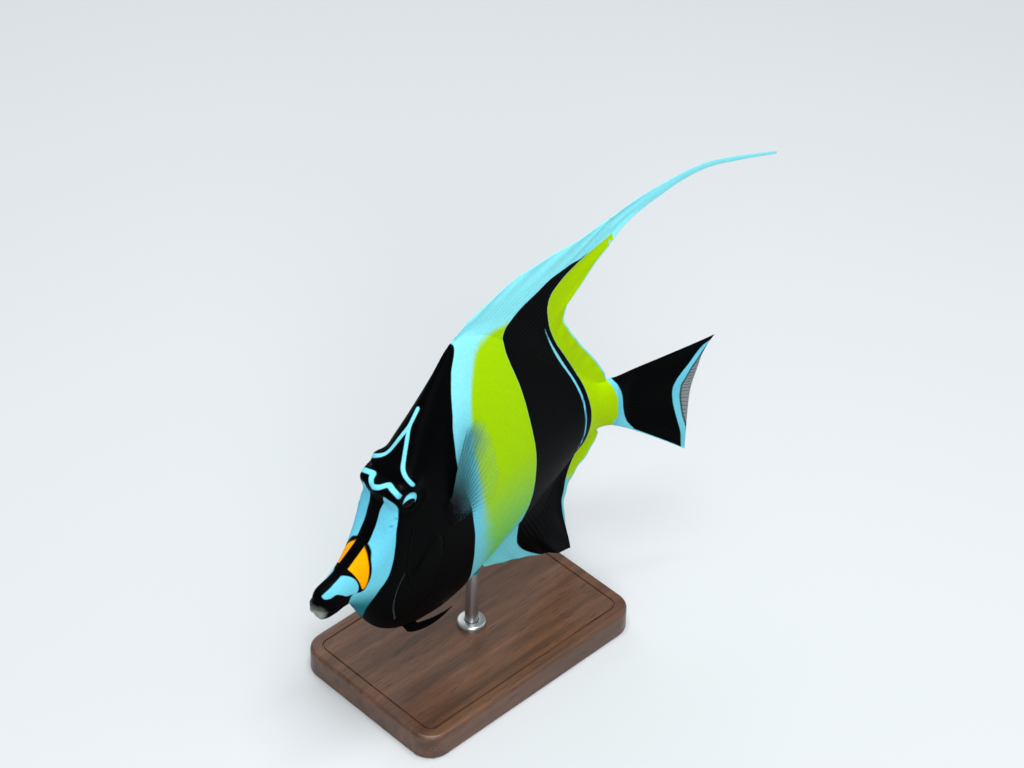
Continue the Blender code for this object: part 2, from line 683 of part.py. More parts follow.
def build_stand():
    """Flat wooden base with rounded corners, and one metal rod up to the belly."""
    outline = []
    for quarter in range(4):
        for step in range(6):
            angle = math.radians(90 * quarter + 90 * step / 5)
            cx = (BASE_LENGTH / 2 - BASE_CORNER) * (1 if quarter in (0, 3) else -1)
            cy = (BASE_WIDTH / 2 - BASE_CORNER) * (1 if quarter in (0, 1) else -1)
            outline.append((cx, cy, math.cos(angle), math.sin(angle)))
    levels = ((0.0, 0.0), (BASE_HEIGHT - BASE_BEVEL, 0.0),
              (BASE_HEIGHT - BASE_BEVEL * 0.3, BASE_BEVEL * 0.3), (BASE_HEIGHT, BASE_BEVEL))
    points = [(cx + (BASE_CORNER - inset) * ux, cy + (BASE_CORNER - inset) * uy, z)
              for z, inset in levels for cx, cy, ux, uy in outline]
    count = len(outline)
    faces = [list(range(count)), list(range(3 * count, 4 * count))]
    for i in range(3):
        for j in range(count):
            n = (j + 1) % count
            faces.append((i * count + j, i * count + n, (i + 1) * count + n, (i + 1) * count + j))
    make_object("stand_base", points, faces, BASE_WOOD)

    sides = ROD_SIDES
    foot_height = BASE_HEIGHT + JOIN_GAP * UNIT
    rod_points = []
    for k in range(sides):
        angle = 2 * math.pi * k / sides
        rod_points.append((math.cos(angle), math.sin(angle)))
    centre = (ROD_STATION - BASE_CENTRE_STATION) * UNIT
    points = [(centre + ROD_RADIUS * ux, ROD_RADIUS * uy, foot_height) for ux, uy in rod_points]
    for share in (1.0, 0.5):
        for ux, uy in rod_points:
            station = ROD_STATION + ROD_RADIUS / UNIT * ux * share
            side = -ROD_RADIUS / UNIT * uy * share
            points.append(place(station, side, under_side(station, side) - JOIN_GAP))
    points.append(place(ROD_STATION, 0.0, BELLY(ROD_STATION) - JOIN_GAP))
    faces = [list(range(sides))]
    for k in range(sides):
        n = (k + 1) % sides
        faces.append((k, n, n + sides, k + sides))
        faces += [(k + sides, n + sides, n + 2 * sides), (k + sides, n + 2 * sides, k + 2 * sides)]
        faces.append((k + 2 * sides, n + 2 * sides, 3 * sides))
    make_object("stand_rod", points, faces, ROD_METAL)


def build():
    """Clear the scene and build every piece."""
    for old in list(bpy.data.objects):
        bpy.data.objects.remove(old)
    build_head()
    build_horns()
    build_eyes()
    build_trunk()
    build_dorsal_fin()
    build_streamer()
    build_anal_fin()
    build_tail_fin()
    build_pectoral_fins()
    build_pelvic_fins()
    build_stand()


build()
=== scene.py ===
"""The looks of a life-size moorish idol on a plain display stand, dressed over its solids.

The fish swims level and faces -X. Its left side is -Y, its back is +Z, and the floor is at z = 0.
Places on it are (station, side, height) in hundredths of its standard length: station runs along
the spine from the snout, side is positive on its left, and height counts from the mouth's level.
"""
from __future__ import annotations

import logging
import math
from dataclasses import dataclass
from enum import Enum

import bmesh
import bpy
import numpy as np
from mathutils import Matrix, Vector

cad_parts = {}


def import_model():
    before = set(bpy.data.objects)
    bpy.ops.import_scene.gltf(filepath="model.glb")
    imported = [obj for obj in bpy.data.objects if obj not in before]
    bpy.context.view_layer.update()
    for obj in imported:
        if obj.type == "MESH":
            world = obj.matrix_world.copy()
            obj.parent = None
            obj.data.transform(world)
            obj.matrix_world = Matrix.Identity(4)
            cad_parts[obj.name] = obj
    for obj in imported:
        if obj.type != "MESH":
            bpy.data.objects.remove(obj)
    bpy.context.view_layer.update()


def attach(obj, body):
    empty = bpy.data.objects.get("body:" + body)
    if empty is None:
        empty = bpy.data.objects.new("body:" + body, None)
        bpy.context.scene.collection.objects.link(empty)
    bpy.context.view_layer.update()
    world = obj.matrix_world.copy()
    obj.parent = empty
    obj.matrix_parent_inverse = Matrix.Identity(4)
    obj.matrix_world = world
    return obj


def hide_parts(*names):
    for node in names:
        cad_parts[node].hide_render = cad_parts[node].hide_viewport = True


LOG = logging.getLogger("moorish_idol")
Array = np.ndarray

STANDARD_LENGTH = 0.140
UNIT = STANDARD_LENGTH / 100.0
MOUTH_LEVEL = 0.063
BASE_CENTRE_STATION = 50.5
GAP = 0.0003 / UNIT
BODY = "root"
ALL_SMOOTH = 180.0
FLOW_STEPS = 5
RAY_SIDES = 6
OUTSIDE = -9.0


class Curve:
    """A smooth curve through a few (place, value) pairs, which never swings past them."""

    def __init__(self, *pairs: tuple[float, float]) -> None:
        """Work out a tangent at each pair.

        Args:
            pairs: Places in rising order, each with its value.
        """
        self.xs = np.array([x for x, _ in pairs], float)
        self.ys = np.array([y for _, y in pairs], float)
        slopes = np.diff(self.ys) / np.diff(self.xs)
        before, after = slopes[:-1], slopes[1:]
        same = before * after > 0
        total = np.where(same, before + after, 1.0)
        inner = np.where(same, 2 * before * after / total, 0.0)
        self.tangents = np.concatenate([slopes[:1], inner, slopes[-1:]])

    def __call__(self, x: Array | float) -> Array:
        """Read the curve.

        Args:
            x: Places, which may lie past the ends.

        Returns:
            The values there.
        """
        x = np.clip(np.asarray(x, float), self.xs[0], self.xs[-1])
        i = np.clip(np.searchsorted(self.xs, x, side="right") - 1, 0, len(self.xs) - 2)
        width = self.xs[i + 1] - self.xs[i]
        t = (x - self.xs[i]) / width
        rise = self.ys[i + 1] - self.ys[i]
        m0 = self.tangents[i] * width
        m1 = self.tangents[i + 1] * width
        return self.ys[i] + t * m0 + t ** 2 * (3 * rise - 2 * m0 - m1) + t ** 3 * (m0 + m1 - 2 * rise)


def smooth_step(low: float, high: float, x: Array) -> Array:
    """Ease from 0 to 1.

    Args:
        low: Where the result starts to leave 0.
        high: Where it reaches 1.
        x: Values to ease.

    Returns:
        The eased values.
    """
    t = np.clip((x - low) / (high - low), 0.0, 1.0)
    return t * t * (3 - 2 * t)


def bump(x: Array, width: float) -> Array:
    """A bell of height 1 round zero, about two widths across."""
    return np.exp(-((x / width) ** 2))


@dataclass(frozen=True)
class BodyForm:
    """Outline and cross sections of the flesh, as functions of the station."""

    head_end: float = 34.0
    stalk_end: float = 98.5
    bend_start: float = 88.0
    bend_length: float = 16.0
    bend_angle: float = math.radians(30)
    back: Curve = Curve(
        (0, 2.2), (0.5, 4.2), (1.6, 5.7), (5.5, 6.8), (9.1, 8.8), (12, 10.7), (15, 13.1), (17.5, 16.9),
        (19.4, 22.0), (21.0, 25.9), (26.0, 32.9), (30.0, 39.0), (33.0, 43.3), (35, 46.0), (38.5, 50.5),
        (42, 54.9), (45, 56.8), (52, 54.6), (60, 48.7), (70, 39.5), (80, 29.4), (88, 21.3), (93.4, 17.3),
        (100, 16.6))
    belly: Curve = Curve(
        (0, 0.1), (0.5, -2.0), (1.6, -3.4), (3.4, -3.9), (5.5, -3.7), (7.4, -3.1), (9, -3.0),
        (10.4, -4.0), (12.4, -7.6), (14.4, -11.4), (17, -15.3), (20.5, -18.8), (25.5, -21.7),
        (31.5, -23.3), (38, -23.8), (45, -22.8), (50, -20.6), (54, -18.7), (60, -16.0), (70, -10.8),
        (80, -4.6), (88, 0.6), (93.4, 3.0), (100, 1.4))
    widest: Curve = Curve((0, 1.2), (5, 1.8), (12, 4.0), (20, 9.0), (30, 12.0), (45, 14.0), (60, 14.0),
                          (80, 12.0), (100, 9.2))
    half: Curve = Curve((0, 0.7), (0.5, 1.5), (1.7, 2.2), (5, 2.8), (9, 3.5), (13, 4.7), (17, 6.0),
                        (21, 6.9), (25, 7.3), (31, 7.8), (37, 8.0), (45, 7.8), (55, 7.0), (65, 5.9),
                        (75, 4.7), (85, 3.5), (92, 2.7), (100, 2.0))
    back_power: Curve = Curve((0, 2.2), (9, 2.2), (16, 3.2), (21, 4.4), (26, 3.6), (33, 2.2), (42, 1.7),
                              (80, 1.8), (100, 2.0))
    back_root: Curve = Curve((0, 0.5), (25, 0.5), (35, 0.68), (44, 0.86), (80, 0.8), (92, 0.6), (100, 0.5))
    belly_power: Curve = Curve((0, 2.2), (30, 2.1), (60, 1.9), (100, 2.0))
    belly_root: Curve = Curve((0, 0.5), (20, 0.55), (40, 0.62), (60, 0.72), (80, 0.7), (92, 0.58),
                              (100, 0.5))
    back_edge: Curve = Curve((0, 0.3), (34, 0.3), (43, 0.62), (80, 0.5), (100, 0.4))
    belly_edge: Curve = Curve((0, 0.3), (48, 0.3), (55, 0.55), (80, 0.5), (100, 0.4))

    def half_width(self, station: Array | float, height: Array | float) -> Array:
        """Half the body's thickness at places on its side view.

        Args:
            station: Places along the spine.
            height: Heights above the mouth.

        Returns:
            The half thicknesses.
        """
        station = np.asarray(station, float)
        height = np.asarray(height, float)
        middle = self.widest(station)
        upper = height >= middle
        reach = np.where(upper, self.back(station) - middle, middle - self.belly(station))
        part = np.clip(np.abs(height - middle) / reach, 0.0, 1.0)
        power = np.where(upper, self.back_power(station), self.belly_power(station))
        root = np.where(upper, self.back_root(station), self.belly_root(station))
        edge = np.where(upper, self.back_edge(station), self.belly_edge(station))
        return edge + (self.half(station) - edge) * (1 - part ** power) ** root

    def under_side(self, station: Array, side: Array) -> Array:
        """Height of the belly at distances from the middle plane, found by halving.

        Args:
            station: Places along the spine.
            side: Distances from the middle plane.

        Returns:
            The heights.
        """
        low = self.belly(station)
        high = self.widest(station)
        for _ in range(30):
            middle = (low + high) / 2
            thin = self.half_width(station, middle) < np.abs(side)
            low = np.where(thin, middle, low)
            high = np.where(thin, high, middle)
        return np.where(np.abs(side) <= self.belly_edge(station), self.belly(station), high)

    def place(self, station: Array, side: Array, height: Array, foot: Array | None = None) -> Array:
        """World points, in metres, of places on the fish, whose spine curves left at the tail.

        Args:
            station: Places along the spine.
            side: Distances to the left.
            height: Heights above the mouth.
            foot: Where the fin ray through each place leaves the spine, if it is on a fin.

        Returns:
            An array with a point in each row.
        """
        given = (np.asarray(value, float) for value in (station, side, height))
        station, side, height = np.broadcast_arrays(*given)
        foot = station if foot is None else np.broadcast_to(np.asarray(foot, float), station.shape)
        radius = self.bend_length / self.bend_angle
        angle = np.clip(foot - self.bend_start, 0.0, self.bend_length) / radius
        rest = np.maximum(foot - self.bend_start - self.bend_length, 0.0) + station - foot
        ahead = np.minimum(foot, self.bend_start) + radius * np.sin(angle)
        ahead = ahead + rest * np.cos(angle) - side * np.sin(angle)
        aside = radius * (1 - np.cos(angle)) + rest * np.sin(angle) + side * np.cos(angle)
        points = [(ahead - BASE_CENTRE_STATION) * UNIT, -aside * UNIT, MOUTH_LEVEL + height * UNIT]
        return np.stack(points, -1).reshape(-1, 3)


FORM = BodyForm()


def nearest(points: Array, path: Array) -> Array:
    """Distance from points to a path of straight lengths.

    Args:
        points: Points in rows.
        path: The path's points in rows, of as many columns.

    Returns:
        One distance for each point.
    """
    best = np.full(len(points), np.inf)
    for start, end in zip(path[:-1], path[1:]):
        along = end - start
        from_start = points - start
        share = np.clip(from_start @ along / max(float(along @ along), 1e-9), 0.0, 1.0)
        gap = from_start - share[:, None] * along
        best = np.minimum(best, np.einsum("ij,ij->i", gap, gap))
    return np.sqrt(best)


def flow(points: tuple[tuple[float, ...], ...], closed: bool) -> Array:
    """A smooth path through a few points.

    Args:
        points: The points that it passes.
        closed: Whether it returns to its start.

    Returns:
        The path's points in rows.
    """
    knots = np.array(points, float)
    count = len(knots)
    spans = count if closed else count - 1
    rows = []
    for i in range(spans):
        if closed:
            a, b, c, d = (knots[(i + k) % count] for k in (-1, 0, 1, 2))
        else:
            a, b, c, d = (knots[min(max(i + k, 0), count - 1)] for k in (-1, 0, 1, 2))
        for step in range(FLOW_STEPS):
            t = step / FLOW_STEPS
            rows.append(0.5 * (2 * b + (c - a) * t + (2 * a - 5 * b + 4 * c - d) * t * t
                               + (3 * b - a - 3 * c + d) * t ** 3))
    rows.append(knots[0] if closed else knots[-1])
    return np.array(rows)


@dataclass(frozen=True)
class Patch:
    """A coloured field of the skin, drawn by its outline on the side view."""

    outline: tuple[tuple[float, float], ...]
    stripe: float = 0.0
    flare: float = 0.0
    stripe_heights: tuple[float, float] = (-4.5, 1.0)
    flare_heights: tuple[float, float] = (21.0, 25.0)

    def depth(self, station: Array, side: Array, height: Array) -> Array:
        """How far inside the field each place lies, or how far outside as a negative number.

        Args:
            station: Places along the spine.
            side: Distances from the middle plane, where a stripe of the ground colour runs.
            height: Heights above the mouth.

        Returns:
            The depths.
        """
        path = flow(self.outline, closed=True)
        points = np.stack([station, height], -1)
        odd = np.zeros(len(points), bool)
        for (x0, y0), (x1, y1) in zip(path[:-1], path[1:]):
            crosses = (y0 > height) != (y1 > height)
            run = y1 - y0 if y1 != y0 else 1.0
            odd ^= crosses & (station < x0 + (height - y0) * (x1 - x0) / run)
        gap = nearest(points, path)
        depth = np.where(odd, gap, -gap)
        if self.stripe:
            wide = self.stripe * smooth_step(*self.stripe_heights, height)
            wide = wide + self.flare * smooth_step(*self.flare_heights, height)
            depth = np.minimum(depth, np.abs(side) - wide)
        return depth


@dataclass(frozen=True)
class Stroke:
    """A painted line on both sides, of even width, given on the side view or in space."""

    path: tuple[tuple[float, ...], ...]
    half_width: float

    def depth(self, station: Array, side: Array, height: Array) -> Array:
        """How far inside the line each place lies, or how far outside as a negative number.

        Args:
            station: Places along the spine.
            side: Distances from the middle plane.
            height: Heights above the mouth.

        Returns:
            The depths.
        """
        flat = len(self.path[0]) == 2
        axes = [station, height] if flat else [station, np.abs(side), height]
        return self.half_width - nearest(np.stack(axes, -1), flow(self.path, closed=False))


@dataclass(frozen=True)
class Markings:
    """Where each colour of the coat lies on the skin and the fins."""

    first_bar_rear: Curve = Curve(
        (-24, 47.6), (-18, 47.3), (-12.1, 46.4), (-5.1, 45.6), (0.2, 45.0), (6.7, 43.8), (11.6, 42.9),
        (17.1, 41.0), (23.6, 39.2), (29.6, 38.7), (35.5, 38.8), (39.7, 39.4), (43.8, 39.9), (50.4, 41.3),
        (55.8, 43.4), (58, 43.6))
    second_bar: Patch = Patch((
        (87.8, 59.9), (85.0, 59.5), (82.4, 59.6), (79.0, 59.4), (74.6, 58.7), (70.3, 57.0), (65.9, 55.4),
        (62.7, 53.7), (60.2, 52.0), (59.2, 50.1), (59.0, 46.9), (59.8, 43.0), (61.3, 38.2), (62.6, 33.3),
        (64.6, 23.1), (66.4, 12.7), (67.1, 1.4), (66.9, -4.7), (66.2, -9.3), (66.4, -15.3), (66.2, -18.2),
        (66.7, -20.8), (69.2, -24.4), (73.4, -28.0), (77.0, -30.6), (80.5, -34.5), (90.0, -37.0),
        (88.0, -30.0), (85.3, -28.2), (83.5, -23.8), (82.3, -19.5), (81.8, -14.6), (82.4, -10.8),
        (83.4, -7.0), (84.8, -3.7), (86.6, -0.6), (87.6, 4.1), (88.2, 8.2), (88.2, 11.9), (87.7, 15.2),
        (86.6, 20.0), (84.9, 24.8), (81.4, 31.4), (77.7, 38.0), (75.5, 43.2), (74.7, 46.7), (74.3, 50.4),
        (75.1, 53.5), (77.5, 55.7), (80.2, 57.3), (83.5, 58.5)))
    yellow_side: Patch = Patch((
        (64.2, 51.2), (61.6, 52.9), (57.2, 53.4), (54.0, 53.5), (50.8, 52.9), (48.2, 50.9), (46.3, 46.2),
        (45.1, 41.5), (44.6, 37.0), (44.3, 30.3), (44.9, 22.7), (46.0, 15.7), (46.9, 11.3), (48.4, 4.6),
        (49.9, -2.2), (51.9, -10.3), (54.6, -17.8), (55.4, -18.6), (57.2, -15.8), (59.7, -12.9),
        (62.6, -10.2), (66.5, -7.0), (72.0, 0.0), (74.0, 20.0), (68.0, 45.0)))
    strip_front: Curve = Curve((-40, 83.0), (-8, 83.0), (12, 87.0), (30, 80.0), (45, 72.0), (53, 73.0),
                               (57, 78.0), (58.8, 84.0), (59.6, 87.5), (61, 92.0))
    strip_top: Curve = Curve((86, 59.5), (90, 60.1), (94.5, 61.4), (98, 62.2))
    strip_fade: float = -9.0
    side_blend: Curve = Curve((-20, 8.0), (-8, 7.0), (8, 4.0), (25, 2.2), (45, 1.5), (50, 2.2), (56, 3.0))
    inner_line: Stroke = Stroke((
        (73.7, 44.4), (74.1, 43.0), (76.0, 38.4), (78.4, 33.5), (81.6, 27.3), (83.6, 22.7), (85.0, 18.3),
        (85.8, 13.3), (86.0, 9.1), (85.9, 5.6), (85.2, 3.0), (83.9, -0.6)), 0.32)
    stalk_front: Curve = Curve((-2, 96.8), (4.5, 97.2), (5.7, 98.1), (10.5, 97.9), (14.6, 97.0), (17, 95.6))
    stalk_rear: Curve = Curve((-4, 106.5), (-1.1, 103.8), (2.4, 101.5), (6.7, 100.3), (11.4, 99.6),
                              (15.6, 98.0), (17, 96.9))
    crescent_front: Curve = Curve(
        (-12, 116.9), (-8.8, 116.7), (-4.4, 116.2), (-0.9, 115.3), (3.0, 114.3), (6.4, 113.6),
        (10.1, 113.3), (12.8, 114.0), (15.3, 115.4), (17.7, 117.1), (20.3, 118.7), (22.9, 120.6),
        (24.4, 122.5), (27, 125))
    crescent_rear: Curve = Curve(
        (-12, 118.2), (-8.0, 118.0), (-3.2, 117.5), (0.8, 116.4), (4.6, 115.7), (8.2, 115.3),
        (10.8, 115.4), (13.9, 116.6), (16.4, 117.7), (18.9, 119.2), (22.3, 121.2), (24.4, 123.0),
        (27, 126))
    cheek: Patch = Patch((
        (20.8, 25.4), (21.4, 24.0), (21.1, 21.8), (20.6, 19.4), (20.0, 16.7), (19.7, 13.8), (19.3, 10.5),
        (18.8, 7.5), (17.9, 4.3), (16.9, 2.3), (15.7, 0.6), (14.6, -1.4), (13.6, -3.4), (13.1, -6.0),
        (13.6, -9.5), (14.5, -12.4), (12.0, -13.0), (9.3, -6.0), (8.3, -4.6), (8.2, -1.0), (8.5, 1.3),
        (9.6, 1.9), (10.8, 1.7), (11.9, 2.2), (12.7, 3.7), (13.4, 5.5), (13.8, 7.6), (14.2, 10.1),
        (15.0, 12.1), (15.6, 14.6), (17.0, 17.6), (18.6, 21.6), (19.8, 25.0)), 1.9, 0.8)
    snout_patch: Patch = Patch((
        (1.5, 5.0), (4.4, 6.0), (6.7, 7.2), (8.3, 7.3), (9.7, 6.2), (10.4, 4.0), (10.0, 2.0), (8.2, 2.1),
        (7.2, 2.3), (5.9, 3.3), (4.7, 3.9), (3.0, 3.6), (1.6, 4.0)), 1.3)
    saddle: Patch = Patch((
        (14.9, 13.4), (14.2, 12.0), (13.6, 10.1), (13.2, 7.8), (12.8, 5.3), (12.3, 3.5), (11.4, 2.5),
        (10.7, 5.0), (10.2, 6.5), (9.7, 7.6), (9.2, 8.7), (9.4, 10.6), (12.0, 12.6), (14.2, 14.6)), 1.5)
    brow_vee: Stroke = Stroke((
        (32.8, 0.0, 43.0), (31.2, 0.0, 40.8), (30.0, 0.1, 39.0), (28.8, 0.8, 37.0), (27.6, 1.5, 35.1),
        (26.5, 2.2, 33.1), (25.6, 3.0, 31.2), (25.2, 4.1, 29.8), (25.3, 4.9, 28.9), (25.6, 5.4, 28.2)), 0.5)
    brow_wave: Stroke = Stroke((
        (21.2, 0.0, 26.0), (21.4, 1.2, 26.5), (22.3, 2.4, 27.5), (22.4, 3.7, 27.0), (22.5, 4.5, 26.4),
        (22.6, 4.9, 25.8)), 0.52)
    breast_crease: Stroke = Stroke(((22.4, 2.5), (20.8, -0.8), (20.0, -4.8), (20.1, -9.1), (21.5, -14.3)),
                                   0.10)
    tail_top: float = 35.0
    jaw: tuple[float, float] = (-0.6, -1.0)
    jaw_reach: float = 2.1
    jaw_blend: float = 0.14
    # Painted shade under the head: heights and stations over which the throat's dark teal fades in.
    throat_shade_heights: tuple[float, float] = (3.0, -5.0)
    throat_shade_places: tuple[float, float] = (19.0, 15.0)

    def body(self, station: Array, side: Array, height: Array) -> dict[str, Array]:
        """Depth of each place in each colour of the body and the upright fins.

        Args:
            station: Places along the spine.
            side: Distances from the middle plane.
            height: Heights above the mouth.

        Returns:
            The depths by the colour's name, positive inside, and the share of painted shade on the throat.
        """
        place = (station, side, height)
        bar = self.second_bar.depth(*place)
        band = np.minimum(station - self.first_bar_rear(height), -bar)
        behind = station - self.strip_front(height)
        strip = np.minimum(np.minimum(behind, -bar), self.strip_top(station) - height)
        strip = np.minimum(strip, (height - self.strip_fade) * 0.1)
        stalk = np.minimum(station - self.stalk_front(height), self.stalk_rear(height) - station)
        stalk = np.minimum(stalk, self.tail_top - height)
        tail = np.minimum(station - self.stalk_rear(height), self.tail_top - height)
        crescent = np.minimum(station - self.crescent_front(height), self.crescent_rear(height) - station)
        crescent = np.minimum(crescent, self.tail_top - height)
        inner = self.inner_line.depth(*place) - 0.2 * smooth_step(6.0, 0.0, height)
        inner = inner - 0.24 * smooth_step(34.0, 44.0, height)
        pale = np.minimum(band, -tail)
        fields = [self.cheek, self.snout_patch, self.brow_vee, self.brow_wave]
        for part in (crescent, inner, *(each.depth(*place) for each in fields)):
            pale = np.maximum(pale, part)
        side_yellow = np.minimum(self.yellow_side.depth(*place) * 0.3 / self.side_blend(height), band)
        yellow = np.maximum(side_yellow, np.minimum(strip, self.stalk_front(height) - station))
        jaw = np.hypot(station - self.jaw[0], (height - self.jaw[1]) * 0.85)
        jaw = (self.jaw_reach - jaw) * self.jaw_blend
        crease = self.breast_crease.depth(*place)
        # Share of painted shade, a dark teal that stands for the shaded throat.
        throat_shade = smooth_step(*self.throat_shade_heights, height) * smooth_step(*self.throat_shade_places, station)
        return {"pale": np.maximum(pale, stalk), "yellow": yellow, "orange": self.saddle.depth(*place),
                "grey": jaw, "crease": crease, "throat_shade": throat_shade}


MARKINGS = Markings()
COLOURS = ("pale", "yellow", "orange", "grey", "crease")


def linear(code: str) -> tuple[float, float, float, float]:
    """Turn an sRGB hex colour into linear values.

    Args:
        code: Six hex digits.

    Returns:
        Red, green, blue and 1.
    """
    values = []
    for start in (0, 2, 4):
        part = int(code[start:start + 2], 16) / 255
        values.append(part / 12.92 if part <= 0.04045 else ((part + 0.055) / 1.055) ** 2.4)
    return values[0], values[1], values[2], 1.0


Socket = bpy.types.NodeSocket


def add_node(tree: bpy.types.NodeTree, kind: str, inputs: dict[str | int, object] | None = None,
             **settings: object) -> bpy.types.Node:
    """Add a node with its settings and links.

    Args:
        tree: The tree that it joins.
        kind: Blender's name of the node.
        inputs: Values or output sockets for its inputs, by name or number.
        settings: Properties of the node.

    Returns:
        The node.
    """
    node = tree.nodes.new(kind)
    for name, value in settings.items():
        setattr(node, name, value)
    for key, value in (inputs or {}).items():
        if isinstance(value, bpy.types.NodeSocket):
            tree.links.new(value, node.inputs[key])
        else:
            node.inputs[key].default_value = value
    return node


def kept_number(tree: bpy.types.NodeTree, name: str) -> Socket:
    """Read a number that is kept on the mesh by name."""
    return add_node(tree, "ShaderNodeAttribute", attribute_name=name).outputs["Fac"]


def blend(tree: bpy.types.NodeTree, share: Socket, first: object, second: object) -> Socket:
    """Mix two colours by a share, each a socket or linear values."""
    return add_node(tree, "ShaderNodeMix", {0: share, 6: first, 7: second}, data_type="RGBA").outputs[2]


def eased(tree: bpy.types.NodeTree, value: Socket, low: float, high: float) -> Socket:
    """Ease from 0 where a value is low to 1 where it is high."""
    return add_node(tree, "ShaderNodeMapRange", {"Value": value, "From Min": low, "From Max": high},
                    interpolation_type="SMOOTHSTEP").outputs[0]


def between(tree: bpy.types.NodeTree, share: Socket, low: float, high: float) -> Socket:
    """Turn a share of 0 to 1 into an even range."""
    return add_node(tree, "ShaderNodeMapRange", {"Value": share, "To Min": low, "To Max": high}).outputs[0]


@dataclass(frozen=True)
class Finish:
    """A material, and what all of them share."""

    name: str

    def start(self) -> tuple[bpy.types.Material, bpy.types.NodeTree, bpy.types.Node]:
        """Start a new material.

        Returns:
            The material, its tree and its shader.
        """
        made = bpy.data.materials.new(self.name)
        made.use_nodes = True
        tree = made.node_tree
        return made, tree, tree.nodes["Principled BSDF"]


@dataclass(frozen=True)
class FishSkin(Finish):
    """Slimed, finely scaled skin: velvety on the black bars, satin on the pale and yellow fields."""

    # The eye reads flat, deep colour with crisp borders and almost no highlight, and only close up
    # the small scales break the light. They are drawn 0.9 mm wide, a little coarser than life.
    name: str = "fish_skin"
    black: str = "020206"
    brown_black: str = "050604"
    pale: str = "86DEE8"
    # Painted shade: the middle and the low pale tones are darker, for the shaded lower flank.
    pale_mid_shade: str = "68C8E2"
    pale_low_shade: str = "6EC2CC"
    # Painted shade: the deep teal of the shaded throat.
    throat_shade: str = "196570"
    yellow: str = "9CCB00"
    # Painted shade: the low yellow is darker and bluer, for the shaded lower flank.
    yellow_low_shade: str = "72BE5C"
    yellow_rear: str = "A0C800"
    orange: str = "FBAE00"
    orange_deep: str = "F89600"
    grey: str = "8F978E"
    crease: str = "3A4A50"
    roughness: float = 0.42
    shine: float = 0.014
    # Heights in metres over which the painted shade deepens, going down the body.
    low_shade_heights: tuple[float, float] = (0.088, 0.045)
    mid_shade_heights: tuple[float, float] = (0.128, 0.088)
    rear_places: tuple[float, float] = (0.020, 0.034)
    raggedness: float = 0.09
    mottle_scale: float = 260.0
    broad_scale: float = 45.0
    scale_width: float = 0.0009
    scale_relief: float = 0.22
    mottle_relief: float = 0.12
    scale_shade: tuple[float, float] = (1.04, 0.90)
    edge: float = 0.15
    see_through: float = 0.0

    def stepped(self, tree: bpy.types.NodeTree, name: str, ragged: Socket) -> Socket:
        """A colour's share, crisp at its boundary.

        Args:
            tree: The material's tree.
            name: The attribute with the depth inside the colour.
            ragged: A small noise that roughens the boundary.

        Returns:
            The socket with the share.
        """
        depth = kept_number(tree, name)
        rough = add_node(tree, "ShaderNodeMath", {0: depth, 1: ragged}, operation="ADD").outputs[0]
        return eased(tree, rough, -self.edge, self.edge)

    def build(self) -> bpy.types.Material:
        """Make the material.

        Returns:
            The finished material.
        """
        made, tree, shader = self.start()
        place = add_node(tree, "ShaderNodeTexCoord").outputs["Object"]
        axes = add_node(tree, "ShaderNodeSeparateXYZ", {"Vector": place})
        mottle = add_node(tree, "ShaderNodeTexNoise", {"Vector": place,
                          "Scale": self.mottle_scale, "Detail": 4.0})
        broad = add_node(tree, "ShaderNodeTexNoise", {"Vector": place,
                         "Scale": self.broad_scale, "Detail": 3.0})
        ragged = between(tree, mottle.outputs["Fac"], -self.raggedness, self.raggedness)
        # Painted shade: the pale and yellow colours darken going down the body.
        low = eased(tree, axes.outputs["Z"], *self.low_shade_heights)
        middle = eased(tree, axes.outputs["Z"], *self.mid_shade_heights)
        throat_shade = kept_number(tree, "throat_shade")
        rear = eased(tree, axes.outputs["X"], *self.rear_places)
        ground = blend(tree, broad.outputs["Fac"], linear(self.black), linear(self.brown_black))
        light = blend(tree, middle, linear(self.pale), linear(self.pale_mid_shade))
        light = blend(tree, low, light, linear(self.pale_low_shade))
        # Painted shade: the throat turns deep teal.
        light = blend(tree, throat_shade, light, linear(self.throat_shade))
        gold = blend(tree, low, linear(self.yellow), linear(self.yellow_low_shade))
        gold = blend(tree, rear, gold, linear(self.yellow_rear))
        amber = blend(tree, broad.outputs["Fac"], linear(self.orange), linear(self.orange_deep))
        black = add_node(tree, "ShaderNodeMath", {0: 1.0, 1: self.stepped(tree, "pale", ragged)},
                         operation="SUBTRACT", use_clamp=True).outputs[0]
        colour = blend(tree, black, light, ground)
        for name, tone in (("crease", linear(self.crease)), ("yellow", gold), ("orange", amber),
                           ("grey", linear(self.grey))):
            colour = blend(tree, self.stepped(tree, name, ragged), colour, tone)
        scales = add_node(tree, "ShaderNodeTexVoronoi", {"Vector": place, "Scale": 1 / self.scale_width,
                          "Randomness": 0.55}, feature="F1")
        shade = between(tree, scales.outputs["Distance"], *self.scale_shade)
        tint = add_node(tree, "ShaderNodeMix", {0: 1.0, 6: colour, 7: shade}, data_type="RGBA",
                        blend_type="MULTIPLY").outputs[2]
        tree.links.new(tint, shader.inputs["Base Color"])
        relief = add_node(tree, "ShaderNodeBump", {"Height": scales.outputs["Distance"],
                          "Strength": self.scale_relief, "Distance": 0.0002}, invert=True)
        fine = add_node(tree, "ShaderNodeBump", {"Height": mottle.outputs["Fac"],
                        "Strength": self.mottle_relief, "Distance": 0.0003,
                        "Normal": relief.outputs["Normal"]})
        tree.links.new(fine.outputs["Normal"], shader.inputs["Normal"])
        gloss = between(tree, broad.outputs["Fac"], self.roughness - 0.06, self.roughness + 0.08)
        tree.links.new(gloss, shader.inputs["Roughness"])
        shader.inputs["Specular IOR Level"].default_value = self.shine
        if self.see_through:
            solid = between(tree, kept_number(tree, "clear"), 1.0, 1.0 - self.see_through)
            tree.links.new(solid, shader.inputs["Alpha"])
        return made


